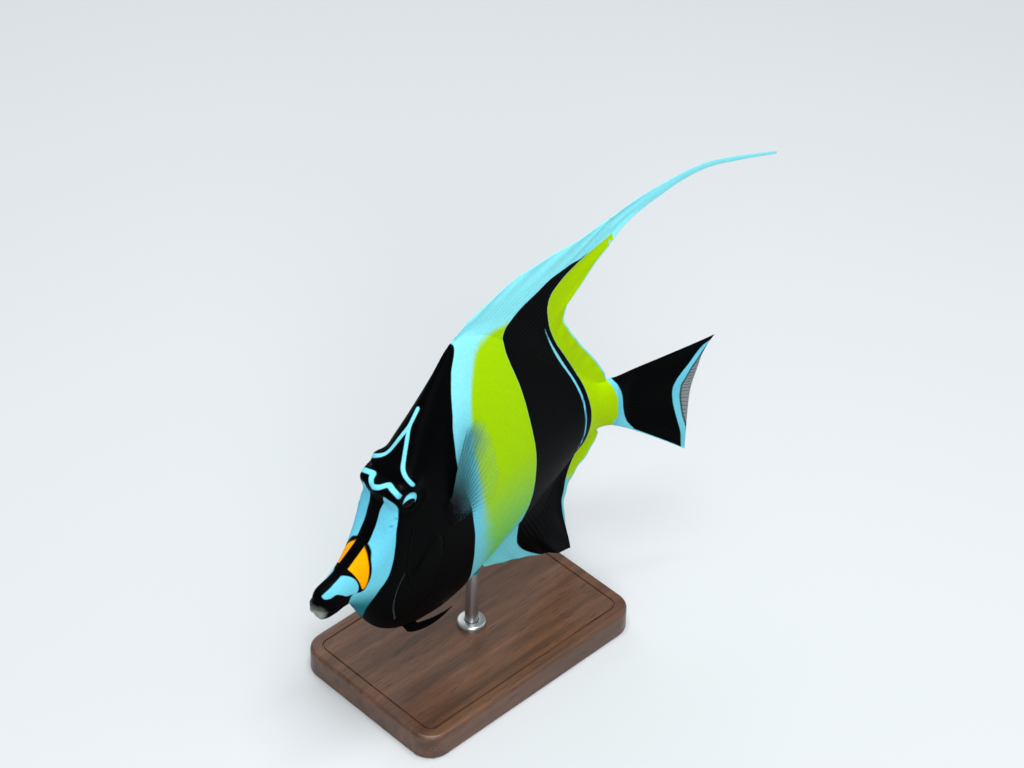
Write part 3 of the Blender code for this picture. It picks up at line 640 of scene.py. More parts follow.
@dataclass(frozen=True)
class FinMembrane(Finish):
    """Thin, wet fin membrane of a breast fin, which lets the colours behind it show."""

    # The eye reads a grey-blue veil over the body, dark and dense at its root and gone at its edge.
    name: str = "fin_membrane"
    web: str = "3F858C"
    root: str = "060D12"
    roughness: float = 0.35
    shine: float = 0.1

    def build(self) -> bpy.types.Material:
        """Make the material, darker and denser towards the fin's root.

        Returns:
            The finished material.
        """
        made, tree, shader = self.start()
        density = kept_number(tree, "dense")
        near = kept_number(tree, "near")
        colour = blend(tree, near, linear(self.web), linear(self.root))
        tree.links.new(colour, shader.inputs["Base Color"])
        tree.links.new(density, shader.inputs["Alpha"])
        shader.inputs["Roughness"].default_value = self.roughness
        shader.inputs["Specular IOR Level"].default_value = self.shine
        return made


@dataclass(frozen=True)
class EyeGloss(Finish):
    """The wet cornea over a dark iris, with a pale crescent on its upper rear."""

    # The eye reads a black bead in the black bar, told from it by the crescent and a small glint.
    name: str = "eye_gloss"
    pupil: str = "020204"
    iris: str = "080606"
    rim: str = "100D0F"
    crescent: str = "70CBE0"
    crescent_edge: float = 0.14
    roughness: float = 0.12
    shine: float = 0.025

    def build(self) -> bpy.types.Material:
        """Make the material.

        Returns:
            The finished material.
        """
        made, tree, shader = self.start()
        reach = kept_number(tree, "reach")
        moon = kept_number(tree, "crescent")
        ramp = add_node(tree, "ShaderNodeValToRGB", {"Fac": reach})
        stops = ((0.0, self.pupil), (0.46, self.pupil), (0.52, self.rim), (0.6, self.iris),
                 (0.86, self.iris), (0.95, self.rim))
        for at, code in stops[2:]:
            ramp.color_ramp.elements.new(at)
        for element, (at, code) in zip(ramp.color_ramp.elements, stops):
            element.position = at
            element.color = linear(code)
        share = eased(tree, moon, -self.crescent_edge, self.crescent_edge)
        colour = blend(tree, share, ramp.outputs["Color"], linear(self.crescent))
        tree.links.new(colour, shader.inputs["Base Color"])
        shader.inputs["Roughness"].default_value = self.roughness
        shader.inputs["Specular IOR Level"].default_value = self.shine
        return made


@dataclass(frozen=True)
class HornBone(Finish):
    """Skin-covered bone of the brow horns: dark, close-grained and a little polished."""

    # The eye reads hard, dark bumps with a soft sheen and a grain of about one millimetre.
    name: str = "horn_bone"
    dark: str = "050507"
    worn: str = "121012"
    grain_scale: float = 900.0
    relief: float = 0.3
    roughness: float = 0.4
    shine: float = 0.07

    def build(self) -> bpy.types.Material:
        """Make the material.

        Returns:
            The finished material.
        """
        made, tree, shader = self.start()
        place = add_node(tree, "ShaderNodeTexCoord").outputs["Object"]
        grain = add_node(tree, "ShaderNodeTexNoise", {"Vector": place,
                         "Scale": self.grain_scale, "Detail": 5.0})
        colour = blend(tree, grain.outputs["Fac"], linear(self.dark), linear(self.worn))
        tree.links.new(colour, shader.inputs["Base Color"])
        relief = add_node(tree, "ShaderNodeBump", {"Height": grain.outputs["Fac"],
                          "Strength": self.relief, "Distance": 0.0002})
        tree.links.new(relief.outputs["Normal"], shader.inputs["Normal"])
        shader.inputs["Roughness"].default_value = self.roughness
        shader.inputs["Specular IOR Level"].default_value = self.shine
        return made


@dataclass(frozen=True)
class Walnut(Finish):
    """Oiled walnut: straight grain along the base, with darker pores and a satin surface."""

    # The eye reads warm brown streaks about 1.6 mm wide that run the length of the base, with fine
    # dark dashes of the pores and a soft, broad sheen.
    name: str = "walnut"
    light: str = "6A4630"
    dark: str = "3A2416"
    pore: str = "24150C"
    grain_width: float = 0.0016
    grain_range: tuple[float, float] = (0.3, 0.7)
    pore_scale: float = 2600.0
    pore_range: tuple[float, float] = (0.60, 0.68)
    relief: float = 0.25
    roughness: float = 0.38

    def build(self) -> bpy.types.Material:
        """Make the material.

        Returns:
            The finished material.
        """
        made, tree, shader = self.start()
        place = add_node(tree, "ShaderNodeTexCoord").outputs["Object"]
        drawn = add_node(tree, "ShaderNodeMapping", {"Vector": place, "Scale": (0.07, 1.0, 1.0)})
        wander = add_node(tree, "ShaderNodeTexNoise", {"Vector": drawn.outputs[0],
                          "Scale": 0.35 / self.grain_width, "Detail": 6.0, "Roughness": 0.65})
        low, high = self.grain_range
        mix = add_node(tree, "ShaderNodeMapRange", {"Value": wander.outputs["Fac"], "From Min": low,
                       "From Max": high}).outputs[0]
        colour = blend(tree, mix, linear(self.dark), linear(self.light))
        long = add_node(tree, "ShaderNodeMapping", {"Vector": place, "Scale": (0.05, 1.0, 1.0)})
        pores = add_node(tree, "ShaderNodeTexNoise", {"Vector": long.outputs[0],
                         "Scale": self.pore_scale, "Detail": 2.0})
        low, high = self.pore_range
        dots = add_node(tree, "ShaderNodeMapRange", {"Value": pores.outputs["Fac"], "From Min": low,
                        "From Max": high}).outputs[0]
        colour = blend(tree, dots, colour, linear(self.pore))
        tree.links.new(colour, shader.inputs["Base Color"])
        relief = add_node(tree, "ShaderNodeBump", {"Height": dots, "Strength": self.relief,
                          "Distance": 0.0001}, invert=True)
        tree.links.new(relief.outputs["Normal"], shader.inputs["Normal"])
        shader.inputs["Roughness"].default_value = self.roughness
        return made


@dataclass(frozen=True)
class BrushedSteel(Finish):
    """Stainless steel rod, brushed along its length, with fine streaks."""

    # The eye reads a bright metal whose highlight is drawn out along the rod. The streaks are about
    # 0.2 mm wide, coarser than a real brushed finish, so that they show.
    name: str = "brushed_steel"
    bright: str = "C9CBCC"
    shade: str = "9FA2A4"
    streak_scale: float = 5000.0
    roughness: tuple[float, float] = (0.24, 0.42)

    def build(self) -> bpy.types.Material:
        """Make the material.

        Returns:
            The finished material.
        """
        made, tree, shader = self.start()
        place = add_node(tree, "ShaderNodeTexCoord").outputs["Object"]
        drawn = add_node(tree, "ShaderNodeMapping", {"Vector": place, "Scale": (1.0, 1.0, 0.03)})
        streaks = add_node(tree, "ShaderNodeTexNoise", {"Vector": drawn.outputs[0],
                           "Scale": self.streak_scale, "Detail": 3.0})
        colour = blend(tree, streaks.outputs["Fac"], linear(self.shade), linear(self.bright))
        tree.links.new(colour, shader.inputs["Base Color"])
        rough = between(tree, streaks.outputs["Fac"], *self.roughness)
        tree.links.new(rough, shader.inputs["Roughness"])
        shader.inputs["Metallic"].default_value = 1.0
        return made


@dataclass(frozen=True)
class PaleFloor(Finish):
    """Matt paper sweep under the stand."""

    # The eye reads an even, pale ground without gloss, on which only the soft shadow shows.
    name: str = "pale_floor"
    tone: str = "C6CACD"
    roughness: float = 0.9

    def build(self) -> bpy.types.Material:
        """Make the material.

        Returns:
            The finished material.
        """
        made, _, shader = self.start()
        shader.inputs["Base Color"].default_value = linear(self.tone)
        shader.inputs["Roughness"].default_value = self.roughness
        return made


class Slot(Enum):
    """The finishes that the model's record names."""

    BLACK_SKIN = "black_skin"
    YELLOW_SKIN = "yellow_skin"
    WHITE_FIN = "white_fin"
    BLACK_FIN = "black_fin"
    EYE = "eye"
    HORN = "horn"
    BASE = "base_wood"
    ROD = "rod_steel"


def put_in_scene(name: str, data: bpy.types.ID) -> bpy.types.Object:
    """A new object of the scene with this data."""
    made = bpy.data.objects.new(name, data)
    bpy.context.scene.collection.objects.link(made)
    return made


def make_piece(name: str, points: Array, faces: Array | list[tuple[int, ...]],
               finish: bpy.types.Material, crease: float = 60.0) -> bpy.types.Object:
    """One piece from points and faces, with its faces turned outwards.

    Args:
        name: The piece's name.
        points: Points in metres, in rows.
        faces: Corners of each face.
        finish: Its material.
        crease: Angle in degrees past which an edge stays sharp.

    Returns:
        The piece, which sits at the origin.
    """
    mesh = bpy.data.meshes.new(name)
    rows = faces.tolist() if isinstance(faces, np.ndarray) else faces
    mesh.from_pydata(points.tolist(), [], rows)
    work = bmesh.new()
    work.from_mesh(mesh)
    bmesh.ops.recalc_face_normals(work, faces=work.faces)
    work.to_mesh(mesh)
    work.free()
    mesh.materials.append(finish)
    mesh.shade_smooth()
    mesh.set_sharp_from_angle(angle=math.radians(crease))
    return put_in_scene(name, mesh)


def write_fields(mesh: bpy.types.Mesh, fields: dict[str, Array]) -> None:
    """Keep one number for each point of a mesh, by name.

    Args:
        mesh: The mesh.
        fields: The numbers by the name of their attribute.
    """
    for name, values in fields.items():
        attribute = mesh.attributes.new(name, "FLOAT", "POINT")
        attribute.data.foreach_set("value", np.asarray(values, np.float32).ravel())


def hand_over(piece: bpy.types.Object, slot: Slot, *nodes: str) -> None:
    """Let a piece ride on the model and stand for its nodes.

    Args:
        piece: The finished piece.
        slot: The finish that the record names for it; not used.
        nodes: The solids that it replaces.
    """
    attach(piece, BODY)
    if nodes:
        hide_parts(*nodes)
    count = len(piece.data.polygons)
    LOG.info("%s: %d faces, stands for %s", piece.name, count, ", ".join(nodes) or "none")


def grid_faces(rows: int, columns: int, closed: bool) -> Array:
    """Quads between the points of a grid.

    Args:
        rows: Rows of points.
        columns: Points in a row.
        closed: Whether each row is a ring.

    Returns:
        The corners of each quad in rows.
    """
    i = np.arange(rows - 1)[:, None]
    j = np.arange(columns if closed else columns - 1)[None, :]
    n = (j + 1) % columns
    corners = [i * columns + j, i * columns + n, (i + 1) * columns + n, (i + 1) * columns + j]
    return np.stack(np.broadcast_arrays(*corners), -1).reshape(-1, 4)


def capped_grid(rows: int, columns: int) -> list[list[int]]:
    """Faces of a tube of rings, with a flat cap on each end.

    Args:
        rows: Rings of points.
        columns: Points in a ring.

    Returns:
        The corners of each face.
    """
    last = (rows - 1) * columns
    caps = [list(range(columns)), list(range(last, last + columns))]
    return grid_faces(rows, columns, True).tolist() + caps


def unit_grid(columns: int, rows: int) -> tuple[Array, Array]:
    """Even shares across and along a fin.

    Args:
        columns: Places across it.
        rows: Places along it.

    Returns:
        The share across and the part along, each as a grid.
    """
    share = np.linspace(0, 1, columns)[:, None]
    part = np.linspace(0, 1, rows)[None, :]
    return tuple(np.broadcast_arrays(share, part))


@dataclass(frozen=True)
class Eye:
    """One eyeball, a little flattened, with its iris turned to the side."""

    station: float = 24.2
    height: float = 24.3
    radius: float = 3.4
    depth: float = 2.6
    proud: float = 0.86
    rings: int = 72
    around: int = 96
    pupil_bulge: float = 0.12
    shown: float = 2.2
    moon_shift: tuple[float, float] = (0.55, 0.85)
    moon_radius: float = 1.85
    moon_margin: float = 0.05

    def side(self) -> float:
        """Distance of its centre from the middle plane."""
        return float(FORM.half_width(self.station, self.height)) + self.proud - self.depth

    def build(self, left: bool, finish: bpy.types.Material) -> None:
        """Make the eyeball and put it in place of its solid.

        Args:
            left: Whether it is the left one.
            finish: Its material.
        """
        sign = 1.0 if left else -1.0
        turn = np.linspace(0, np.pi, self.rings)[:, None]
        round_ = np.linspace(0, 2 * np.pi, self.around, endpoint=False)[None, :]
        reach = self.radius * np.sin(turn)
        along = reach * np.cos(round_)
        up = reach * np.sin(round_)
        out = self.depth * np.cos(turn) + self.pupil_bulge * bump(reach, 1.5) * (np.cos(turn) > 0)
        out = out + 0 * round_
        points = FORM.place(self.station + along, sign * (self.side() + out), self.height + up)
        name = "eye_left" if left else "eye_right"
        piece = make_piece(f"{name}_ball", points, grid_faces(self.rings, self.around, True), finish)
        shown = (reach + 0 * round_) / self.shown + 2.0 * (out < 0)
        outer = self.shown - self.moon_margin - np.hypot(along, up)
        inner = np.hypot(along + self.moon_shift[0], up + self.moon_shift[1]) - self.moon_radius
        fields = {"reach": np.minimum(shown, 1.0), "crescent": np.minimum(outer, inner) - 3.0 * (out < 0)}
        write_fields(piece.data, fields)
        weld = bmesh.new()
        weld.from_mesh(piece.data)
        bmesh.ops.remove_doubles(weld, verts=weld.verts, dist=1e-7)
        bmesh.ops.recalc_face_normals(weld, faces=weld.faces)
        weld.to_mesh(piece.data)
        weld.free()
        hand_over(piece, Slot.EYE, name)


EYE = Eye()


@dataclass(frozen=True)
class Horn:
    """A short hooked horn on the brow, in front of and above an eye."""

    root: tuple[float, float, float] = (23.8, 4.9, 27.0)
    tip: tuple[float, float, float] = (21.9, 5.5, 28.5)
    root_radius: float = 0.95
    tip_radius: float = 0.3
    hook: float = 0.3
    rings: int = 40
    around: int = 40
    sunk: float = 0.35
    rounding: float = 0.07
    ribs: int = 9
    rib_rise: float = 0.035

    def build(self, left: bool, finish: bpy.types.Material) -> None:
        """Make the horn and put it in place of its solid.

        Args:
            left: Whether it is the left one.
            finish: Its material.
        """
        sign = 1.0 if left else -1.0
        start = Vector(FORM.place(self.root[0], sign * self.root[1], self.root[2])[0])
        end = Vector(FORM.place(self.tip[0], sign * self.tip[1], self.tip[2])[0])
        along = end - start
        points = []
        for part in np.linspace(-self.sunk, 1.0, self.rings):
            inner = min(max(part, 0.0), 1.0)
            taper = math.sqrt(max(1 - inner ** 3, 0.0))
            size = (self.tip_radius + (self.root_radius - self.tip_radius) * taper) * UNIT
            past = max((part - 1 + self.rounding) / self.rounding, 0.0)
            size *= math.sqrt(max(1 - past ** 2, 0.0004))
            lift = Vector((0, 0, self.hook * UNIT * math.sin(math.pi * inner)))
            middle = start + along * part + lift
            ahead = along.normalized()
            across = ahead.cross(Vector((0, 0, 1))).normalized()
            up = across.cross(ahead)
            for k in range(self.around):
                angle = 2 * math.pi * k / self.around
                rib = 1 + self.rib_rise * math.sin(self.ribs * angle + 6 * part) * (1 - inner)
                points.append(middle + (across * math.cos(angle) + up * math.sin(angle)) * size * rib)
        faces = capped_grid(self.rings, self.around)
        name = "horn_left" if left else "horn_right"
        piece = make_piece(f"{name}_bone", np.array([tuple(p) for p in points]), faces, finish)
        hand_over(piece, Slot.HORN, name)


@dataclass(frozen=True)
class Fold:
    """A soft ridge of the skin that runs beside a line, or a groove where its rise is negative."""

    away: float
    width: float
    rise: float

    def lift(self, reach: Array) -> Array:
        """How far the skin is raised at distances from the line."""
        return self.rise * bump(reach - self.away, self.width)


@dataclass(frozen=True)
class Skin:
    """One skin over the head, trunk and tail stalk, with the folds of the head in its surface."""

    head_rings: int = 186
    trunk_rings: int = 96
    cap_rings: int = 14
    around: int = 320
    dense: int = 900
    snout_bulge: float = 0.55
    snout_crowding: float = 1.5
    mouth_corner: float = 4.2
    mouth_front_height: float = 1.2
    mouth_corner_height: float = 0.2
    lip_rise: float = 0.5
    lip_away: float = 0.62
    lip_width: float = 0.42
    lip_least: float = 0.35
    lip_fade: float = 1.2
    seam_depth: float = 0.55
    seam_width: float = 0.15
    lip_groove: Fold = Fold(1.55, 0.3, -0.16)
    nostrils: tuple[tuple[float, float], ...] = ((19.2, 18.2), (20.4, 20.2))
    nostril_rim: Fold = Fold(0.5, 0.18, 0.16)
    nostril_pit: Fold = Fold(0.0, 0.3, -0.6)
    gill_centre: tuple[float, float] = (27.0, 4.0)
    gill_edge: Curve = Curve((0, 6.4), (45, 9.0), (80, 15.0), (98, 18.4), (107, 18.6), (118, 14.8),
                             (128, 11.2), (142, 7.8), (162, 5.2), (205, 5.6), (270, 8.6), (315, 7.6),
                             (360, 6.4))
    gill_rise: float = 0.35
    gill_turn: float = 38.0
    gill_groove: Fold = Fold(0.25, 0.22, -0.22)
    cheek_ridge: Fold = Fold(0.0, 0.35, 0.10)
    cheek_groove: Fold = Fold(0.6, 0.25, -0.08)
    orbit_width: float = 2.3
    socket_depth: float = 0.9
    lid_fold: Fold = Fold(0.42, 0.34, 0.22)
    lid_groove: Fold = Fold(1.25, 0.3, -0.10)
    brow_ridge: Fold = Fold(0.0, 0.8, 0.25)
    fin_root: Fold = Fold(0.0, 1.1, 0.42)
    lid_drop: float = -0.34
    lid_reach: float = 2.12
    knob: tuple[float, float] = (25.9, 29.0)
    knob_rise: float = 1.8
    knob_width: float = 2.0
    preopercle: tuple[tuple[float, float], ...] = ((24.6, 15.5), (23.4, 9.0), (23.2, 3.0), (24.6, -3.0),
                                                   (27.0, -7.5))
    brow: tuple[tuple[float, float], ...] = ((21.6, 25.6), (23.2, 27.9), (25.8, 28.2), (28.2, 26.0),
                                             (29.0, 23.0))
    breast_root: tuple[tuple[float, float], ...] = ((35.2, 17.2), (36.8, 10.8))

    def ring(self, station: float) -> tuple[Array, Array]:
        """Even places round the body, from the back down the left side and up the right.

        Args:
            station: Where the ring lies along the spine.

        Returns:
            The sides and the heights.
        """
        middle = float(FORM.widest(station))
        high = float(FORM.back(station))
        low = float(FORM.belly(station))
        turn = np.linspace(0, np.pi, self.dense)
        heights = middle + np.where(turn < np.pi / 2, high - middle, middle - low) * np.cos(turn)
        sides = FORM.half_width(station, heights)
        heights = np.concatenate([[high], heights, [low]])
        sides = np.concatenate([[0.0], sides, [0.0]])
        lengths = np.concatenate([[0], np.cumsum(np.hypot(np.diff(sides), np.diff(heights)))])
        at = np.linspace(0, lengths[-1], self.around // 2 + 1)
        sides = np.interp(at, lengths, sides)
        heights = np.interp(at, lengths, heights)
        return np.concatenate([sides, -sides[-2:0:-1]]), np.concatenate([heights, heights[-2:0:-1]])

    def stations(self) -> Array:
        """Stations of the rings.

        Returns:
            The stations from the snout to the tail, close together at the snout.
        """
        crowd = np.linspace(0, 1, self.head_rings, endpoint=False) ** self.snout_crowding
        rest = np.linspace(FORM.head_end, FORM.stalk_end - GAP / 2, self.trunk_rings)
        return np.concatenate([crowd * FORM.head_end, rest])

    def surface(self) -> tuple[Array, Array, Array]:
        """The flesh without its folds, as rows of rings, with a rounded snout.

        Returns:
            Station, side and height of each point.
        """
        stations = self.stations()
        rings = [self.ring(station) for station in stations]
        side = np.array([ring[0] for ring in rings])
        height = np.array([ring[1] for ring in rings])
        station = np.repeat(stations[:, None], self.around, axis=1)
        turn = np.linspace(np.pi / 2, 0, self.cap_rings, endpoint=False)[:, None]
        centre = (height[0].max() + height[0].min()) / 2
        shrink = np.maximum(np.cos(turn), 0.01)
        cap_side = side[0][None, :] * shrink
        cap_height = centre + (height[0][None, :] - centre) * shrink
        cap_station = -self.snout_bulge * np.sin(turn) + 0 * cap_side
        return (np.concatenate([cap_station, station]), np.concatenate([cap_side, side]),
                np.concatenate([cap_height, height]))

    def mouth_path(self) -> Array:
        """The line of the closed mouth.

        Returns:
            Its points in rows, round the snout to its corner on the left.
        """
        turn = np.linspace(0, np.pi / 2, 24)
        bow = np.cos(turn)
        station = self.mouth_corner - (self.mouth_corner + self.snout_bulge) * bow
        height = self.mouth_corner_height + (self.mouth_front_height - self.mouth_corner_height) * bow
        side = FORM.half(np.maximum(station, 0.0)) * np.sin(turn)
        return np.stack([station, side, height], -1)

    def mouth(self, station: Array, side: Array, height: Array) -> Array:
        """Lips above and below the line of the mouth.

        Args:
            station: Places along the spine.
            side: Distances from the middle plane.
            height: Heights above the mouth.

        Returns:
            How far the skin is raised there.
        """
        gap = nearest(np.stack([station, np.abs(side), height], -1), self.mouth_path())
        corner = self.mouth_corner
        fade = smooth_step(corner + self.lip_fade, corner - self.lip_fade, station)
        full = self.lip_least + (1 - self.lip_least) * fade
        seam = self.seam_depth * bump(gap, self.seam_width) * smooth_step(corner + 1.0, corner, station)
        lips = self.lip_rise * bump(gap - self.lip_away, self.lip_width) * full
        return lips - seam + self.lip_groove.lift(gap) * fade

    def eye_folds(self, station: Array, height: Array) -> Array:
        """Orbit that rises all round the eyeball, with a groove and a lid, and the brow above it.

        Args:
            station: Places along the spine.
            height: Heights above the mouth.

        Returns:
            How far the skin is raised there.
        """
        reach = np.hypot(station - EYE.station, height - EYE.height)
        rim = self.lid_reach
        level = EYE.side() + EYE.depth - EYE.proud - self.lid_drop
        mound = np.maximum(level - FORM.half_width(station, height), 0.0)
        mound = mound * smooth_step(rim + self.orbit_width, rim + 0.4, reach)
        socket = self.socket_depth * smooth_step(rim + 0.12, rim - 0.35, reach)
        fold = self.lid_fold.lift(reach - rim) - socket + self.lid_groove.lift(reach - rim)
        ridge = nearest(np.stack([station, height], -1), flow(self.brow, closed=False))
        knob = np.hypot(station - self.knob[0], height - self.knob[1])
        knob_lift = self.knob_rise * bump(knob, self.knob_width)
        return fold + mound + self.brow_ridge.lift(ridge) + knob_lift

    def nose(self, station: Array, height: Array) -> Array:
        """Two nostrils in front of the eye, each a pit with a raised rim.

        Args:
            station: Places along the spine.
            height: Heights above the mouth.

        Returns:
            How far the skin is raised there.
        """
        total = np.zeros_like(station)
        for at, up in self.nostrils:
            reach = np.hypot(station - at, height - up)
            total += self.nostril_rim.lift(reach) + self.nostril_pit.lift(reach)
        return total

    def gill(self, station: Array, height: Array) -> Array:
        """Raised gill cover with a groove round it, and the ridge on the cheek before it.

        Args:
            station: Places along the spine.
            height: Heights above the mouth.

        Returns:
            How far the skin is raised there.
        """
        ahead = station - self.gill_centre[0]
        down = self.gill_centre[1] - height
        turn = np.degrees(np.arctan2(down, ahead)) % 360
        out = np.hypot(ahead, down) - self.gill_edge(turn)
        shown = smooth_step(-0.35, 0.35, np.cos(np.radians(turn - self.gill_turn)))
        plate = self.gill_rise * smooth_step(0.1, -0.9, out) + self.gill_groove.lift(out)
        ridge = nearest(np.stack([station, height], -1), flow(self.preopercle, closed=False))
        return plate * shown + self.cheek_ridge.lift(ridge) + self.cheek_groove.lift(ridge)

    def fin_base(self, station: Array, height: Array) -> Array:
        """The fleshy root of the breast fin."""
        reach = nearest(np.stack([station, height], -1), np.array(self.breast_root))
        return self.fin_root.lift(reach)

    def build(self, finish: bpy.types.Material) -> None:
        """Make the skin, paint it and put it in place of the flesh's solids.

        Args:
            finish: Its material.
        """
        station, side, height = self.surface()
        grid = np.stack([station, side, height], -1)
        along = np.gradient(grid, axis=0)
        wrapped = np.concatenate([grid[:, -1:], grid, grid[:, :1]], axis=1)
        across = (wrapped[:, 2:] - wrapped[:, :-2]) / 2
        normal = np.cross(across, along)
        normal /= np.maximum(np.linalg.norm(normal, axis=-1, keepdims=True), 1e-9)
        normal *= np.sign(np.sum(normal[..., 1] * side))
        flat = grid.reshape(-1, 3)
        s, w, h = flat.T
        lift = self.mouth(s, w, h) + self.eye_folds(s, h) + self.nose(s, h)
        lift += self.gill(s, h) + self.fin_base(s, h)
        moved = flat + normal.reshape(-1, 3) * lift[:, None]
        points = FORM.place(moved[:, 0], moved[:, 1], moved[:, 2])
        faces = grid_faces(len(station), self.around, True).tolist() + self.end_fan(len(points))
        points = np.concatenate([points, self.ends(points)])
        piece = make_piece("fish_skin", points, faces, finish, crease=ALL_SMOOTH)
        tips = np.array([[s[0], 0.0, h[:self.around].mean()], [s[-1], 0.0, h[-self.around:].mean()]])
        s, w, h = np.concatenate([flat, tips]).T
        write_fields(piece.data, MARKINGS.body(s, w, h))
        hand_over(piece, Slot.YELLOW_SKIN, "head", "trunk", "tail_stalk")

    def ends(self, points: Array) -> Array:
        """The middle points of the first and the last ring."""
        return np.array([points[:self.around].mean(axis=0), points[-self.around:].mean(axis=0)])

    def end_fan(self, middle: int) -> list[tuple[int, int, int]]:
        """Triangles that close the first and the last ring.

        Args:
            middle: Number of the first middle point, which follows the skin's points.

        Returns:
            The corners of each triangle.
        """
        last = middle - self.around
        fans = []
        for k in range(self.around):
            n = (k + 1) % self.around
            fans.append((middle, n, k))
            fans.append((middle + 1, last + k, last + n))
        return fans


class RayTree:
    """A Geometry Nodes tree that grows tapered fin rays along drawn paths."""

    def __init__(self) -> None:
        """Build the tree with its named inputs."""
        tree = bpy.data.node_groups.new("fin rays", "GeometryNodeTree")
        ports = tree.interface
        ports.new_socket("Geometry", in_out="INPUT", socket_type="NodeSocketGeometry")
        ports.new_socket("Sides", in_out="INPUT", socket_type="NodeSocketInt").default_value = RAY_SIDES
        ports.new_socket("Thickness", in_out="INPUT", socket_type="NodeSocketFloat").default_value = 1.0
        ports.new_socket("Finish", in_out="INPUT", socket_type="NodeSocketMaterial")
        ports.new_socket("Geometry", in_out="OUTPUT", socket_type="NodeSocketGeometry")
        given = add_node(tree, "NodeGroupInput").outputs
        girth = add_node(tree, "GeometryNodeInputNamedAttribute", {"Name": "girth"}, data_type="FLOAT")
        size = add_node(tree, "ShaderNodeMath", {0: girth.outputs["Attribute"], 1: given["Thickness"]},
                        operation="MULTIPLY").outputs[0]
        lines = add_node(tree, "GeometryNodeMeshToCurve", {"Mesh": given["Geometry"]}).outputs["Curve"]
        ring = add_node(tree, "GeometryNodeCurvePrimitiveCircle", {"Resolution": given["Sides"],
                        "Radius": 1.0}).outputs["Curve"]
        tubes = add_node(tree, "GeometryNodeCurveToMesh", {"Curve": lines, "Profile Curve": ring,
                         "Scale": size, "Fill Caps": True}).outputs["Mesh"]
        round_ = add_node(tree, "GeometryNodeSetShadeSmooth", {0: tubes}).outputs[0]
        real = add_node(tree, "GeometryNodeRealizeInstances", {0: round_}).outputs[0]
        done = add_node(tree, "GeometryNodeSetMaterial", {"Geometry": real,
                        "Material": given["Finish"]}).outputs[0]
        add_node(tree, "NodeGroupOutput", {0: done})
        self.tree = tree

    def grow(self, name: str, paths: list[Array], girths: list[Array], fields: dict[str, Array],
             finish: bpy.types.Material) -> bpy.types.Object:
        """Grow a ray along each path.

        Args:
            name: The piece's name.
            paths: Each path's points in metres.
            girths: The ray's radius at each of them, in metres.
            fields: Numbers for all the points in turn, kept by name on the rays.
            finish: The material.

        Returns:
            The rays as one piece, with plain mesh.
        """
        mesh = bpy.data.meshes.new(name)
        points = np.concatenate(paths)
        edges = []
        start = 0
        for path in paths:
            edges += [(start + k, start + k + 1) for k in range(len(path) - 1)]
            start += len(path)
        mesh.from_pydata(points.tolist(), edges, [])
        write_fields(mesh, {"girth": np.concatenate(girths), **fields})
        piece = put_in_scene(name, mesh)
        run_tree(piece, self.tree, {"Sides": RAY_SIDES, "Thickness": 1.0, "Finish": finish})
        return piece


def run_tree(piece: bpy.types.Object, tree: bpy.types.NodeTree, values: dict[str, object]) -> None:
    """Run a Geometry Nodes tree on a piece and keep its result as plain mesh.

    Args:
        piece: The piece, whose mesh is replaced.
        tree: The tree.
        values: The tree's inputs by name.
    """
    step = piece.modifiers.new("grow", "NODES")
    step.node_group = tree
    for item in tree.interface.items_tree:
        if item.item_type == "SOCKET" and item.in_out == "INPUT" and item.name in values:
            step[item.identifier] = values[item.name]
    graph = bpy.context.evaluated_depsgraph_get()
    made = bpy.data.meshes.new_from_object(piece.evaluated_get(graph))
    piece.modifiers.remove(step)
    old = piece.data
    piece.data = made
    bpy.data.meshes.remove(old)
    made.name = piece.name


@dataclass(frozen=True)
class Sheet:
    """A thin fin as a grid of places, by column (across the rays) and row (along them)."""

    station: Array
    side: Array
    height: Array
    half: Array
    foot: Array
    quads: Array

    def shell(self) -> tuple[Array, list[tuple[int, ...]]]:
        """Both walls and the rim that closes them.

        Returns:
            The points in metres, and the corners of each face.
        """
        grids = (self.station, self.side, self.height, self.half, self.foot)
        s, w, h, t, f = (grid.ravel() for grid in grids)
        count = len(s)
        points = np.concatenate([FORM.place(s, w + t, h, f), FORM.place(s, w - t, h, f)])
        front = self.quads
        back = self.quads[:, ::-1] + count
        edges = {}
        for k in range(4):
            pairs = np.stack([front[:, k], front[:, (k + 1) % 4]], -1)
            for a, b in pairs.tolist():
                edges[(a, b)] = edges.pop((b, a), None) is None
        loose = [edge for edge, alone in edges.items() if alone]
        rim = [(b, a, a + count, b + count) for a, b in loose]
        return points, front.tolist() + back.tolist() + rim

    def dress(self, name: str, fields: dict[str, Array], slot: Slot, nodes: tuple[str, ...],
              finish: bpy.types.Material) -> None:
        """Make the membrane and put it in place of its solids.

        Args:
            name: The first part of the piece's name.
            fields: Numbers for the places of one wall, kept by name on both.
            slot: The record's finish.
            nodes: The solids that it replaces.
            finish: Its material.
        """
        points, faces = self.shell()
        piece = make_piece(f"{name}_membrane", points, faces, finish, crease=ALL_SMOOTH)
        write_fields(piece.data, {key: np.tile(value, 2) for key, value in fields.items()})
        hand_over(piece, slot, *nodes)


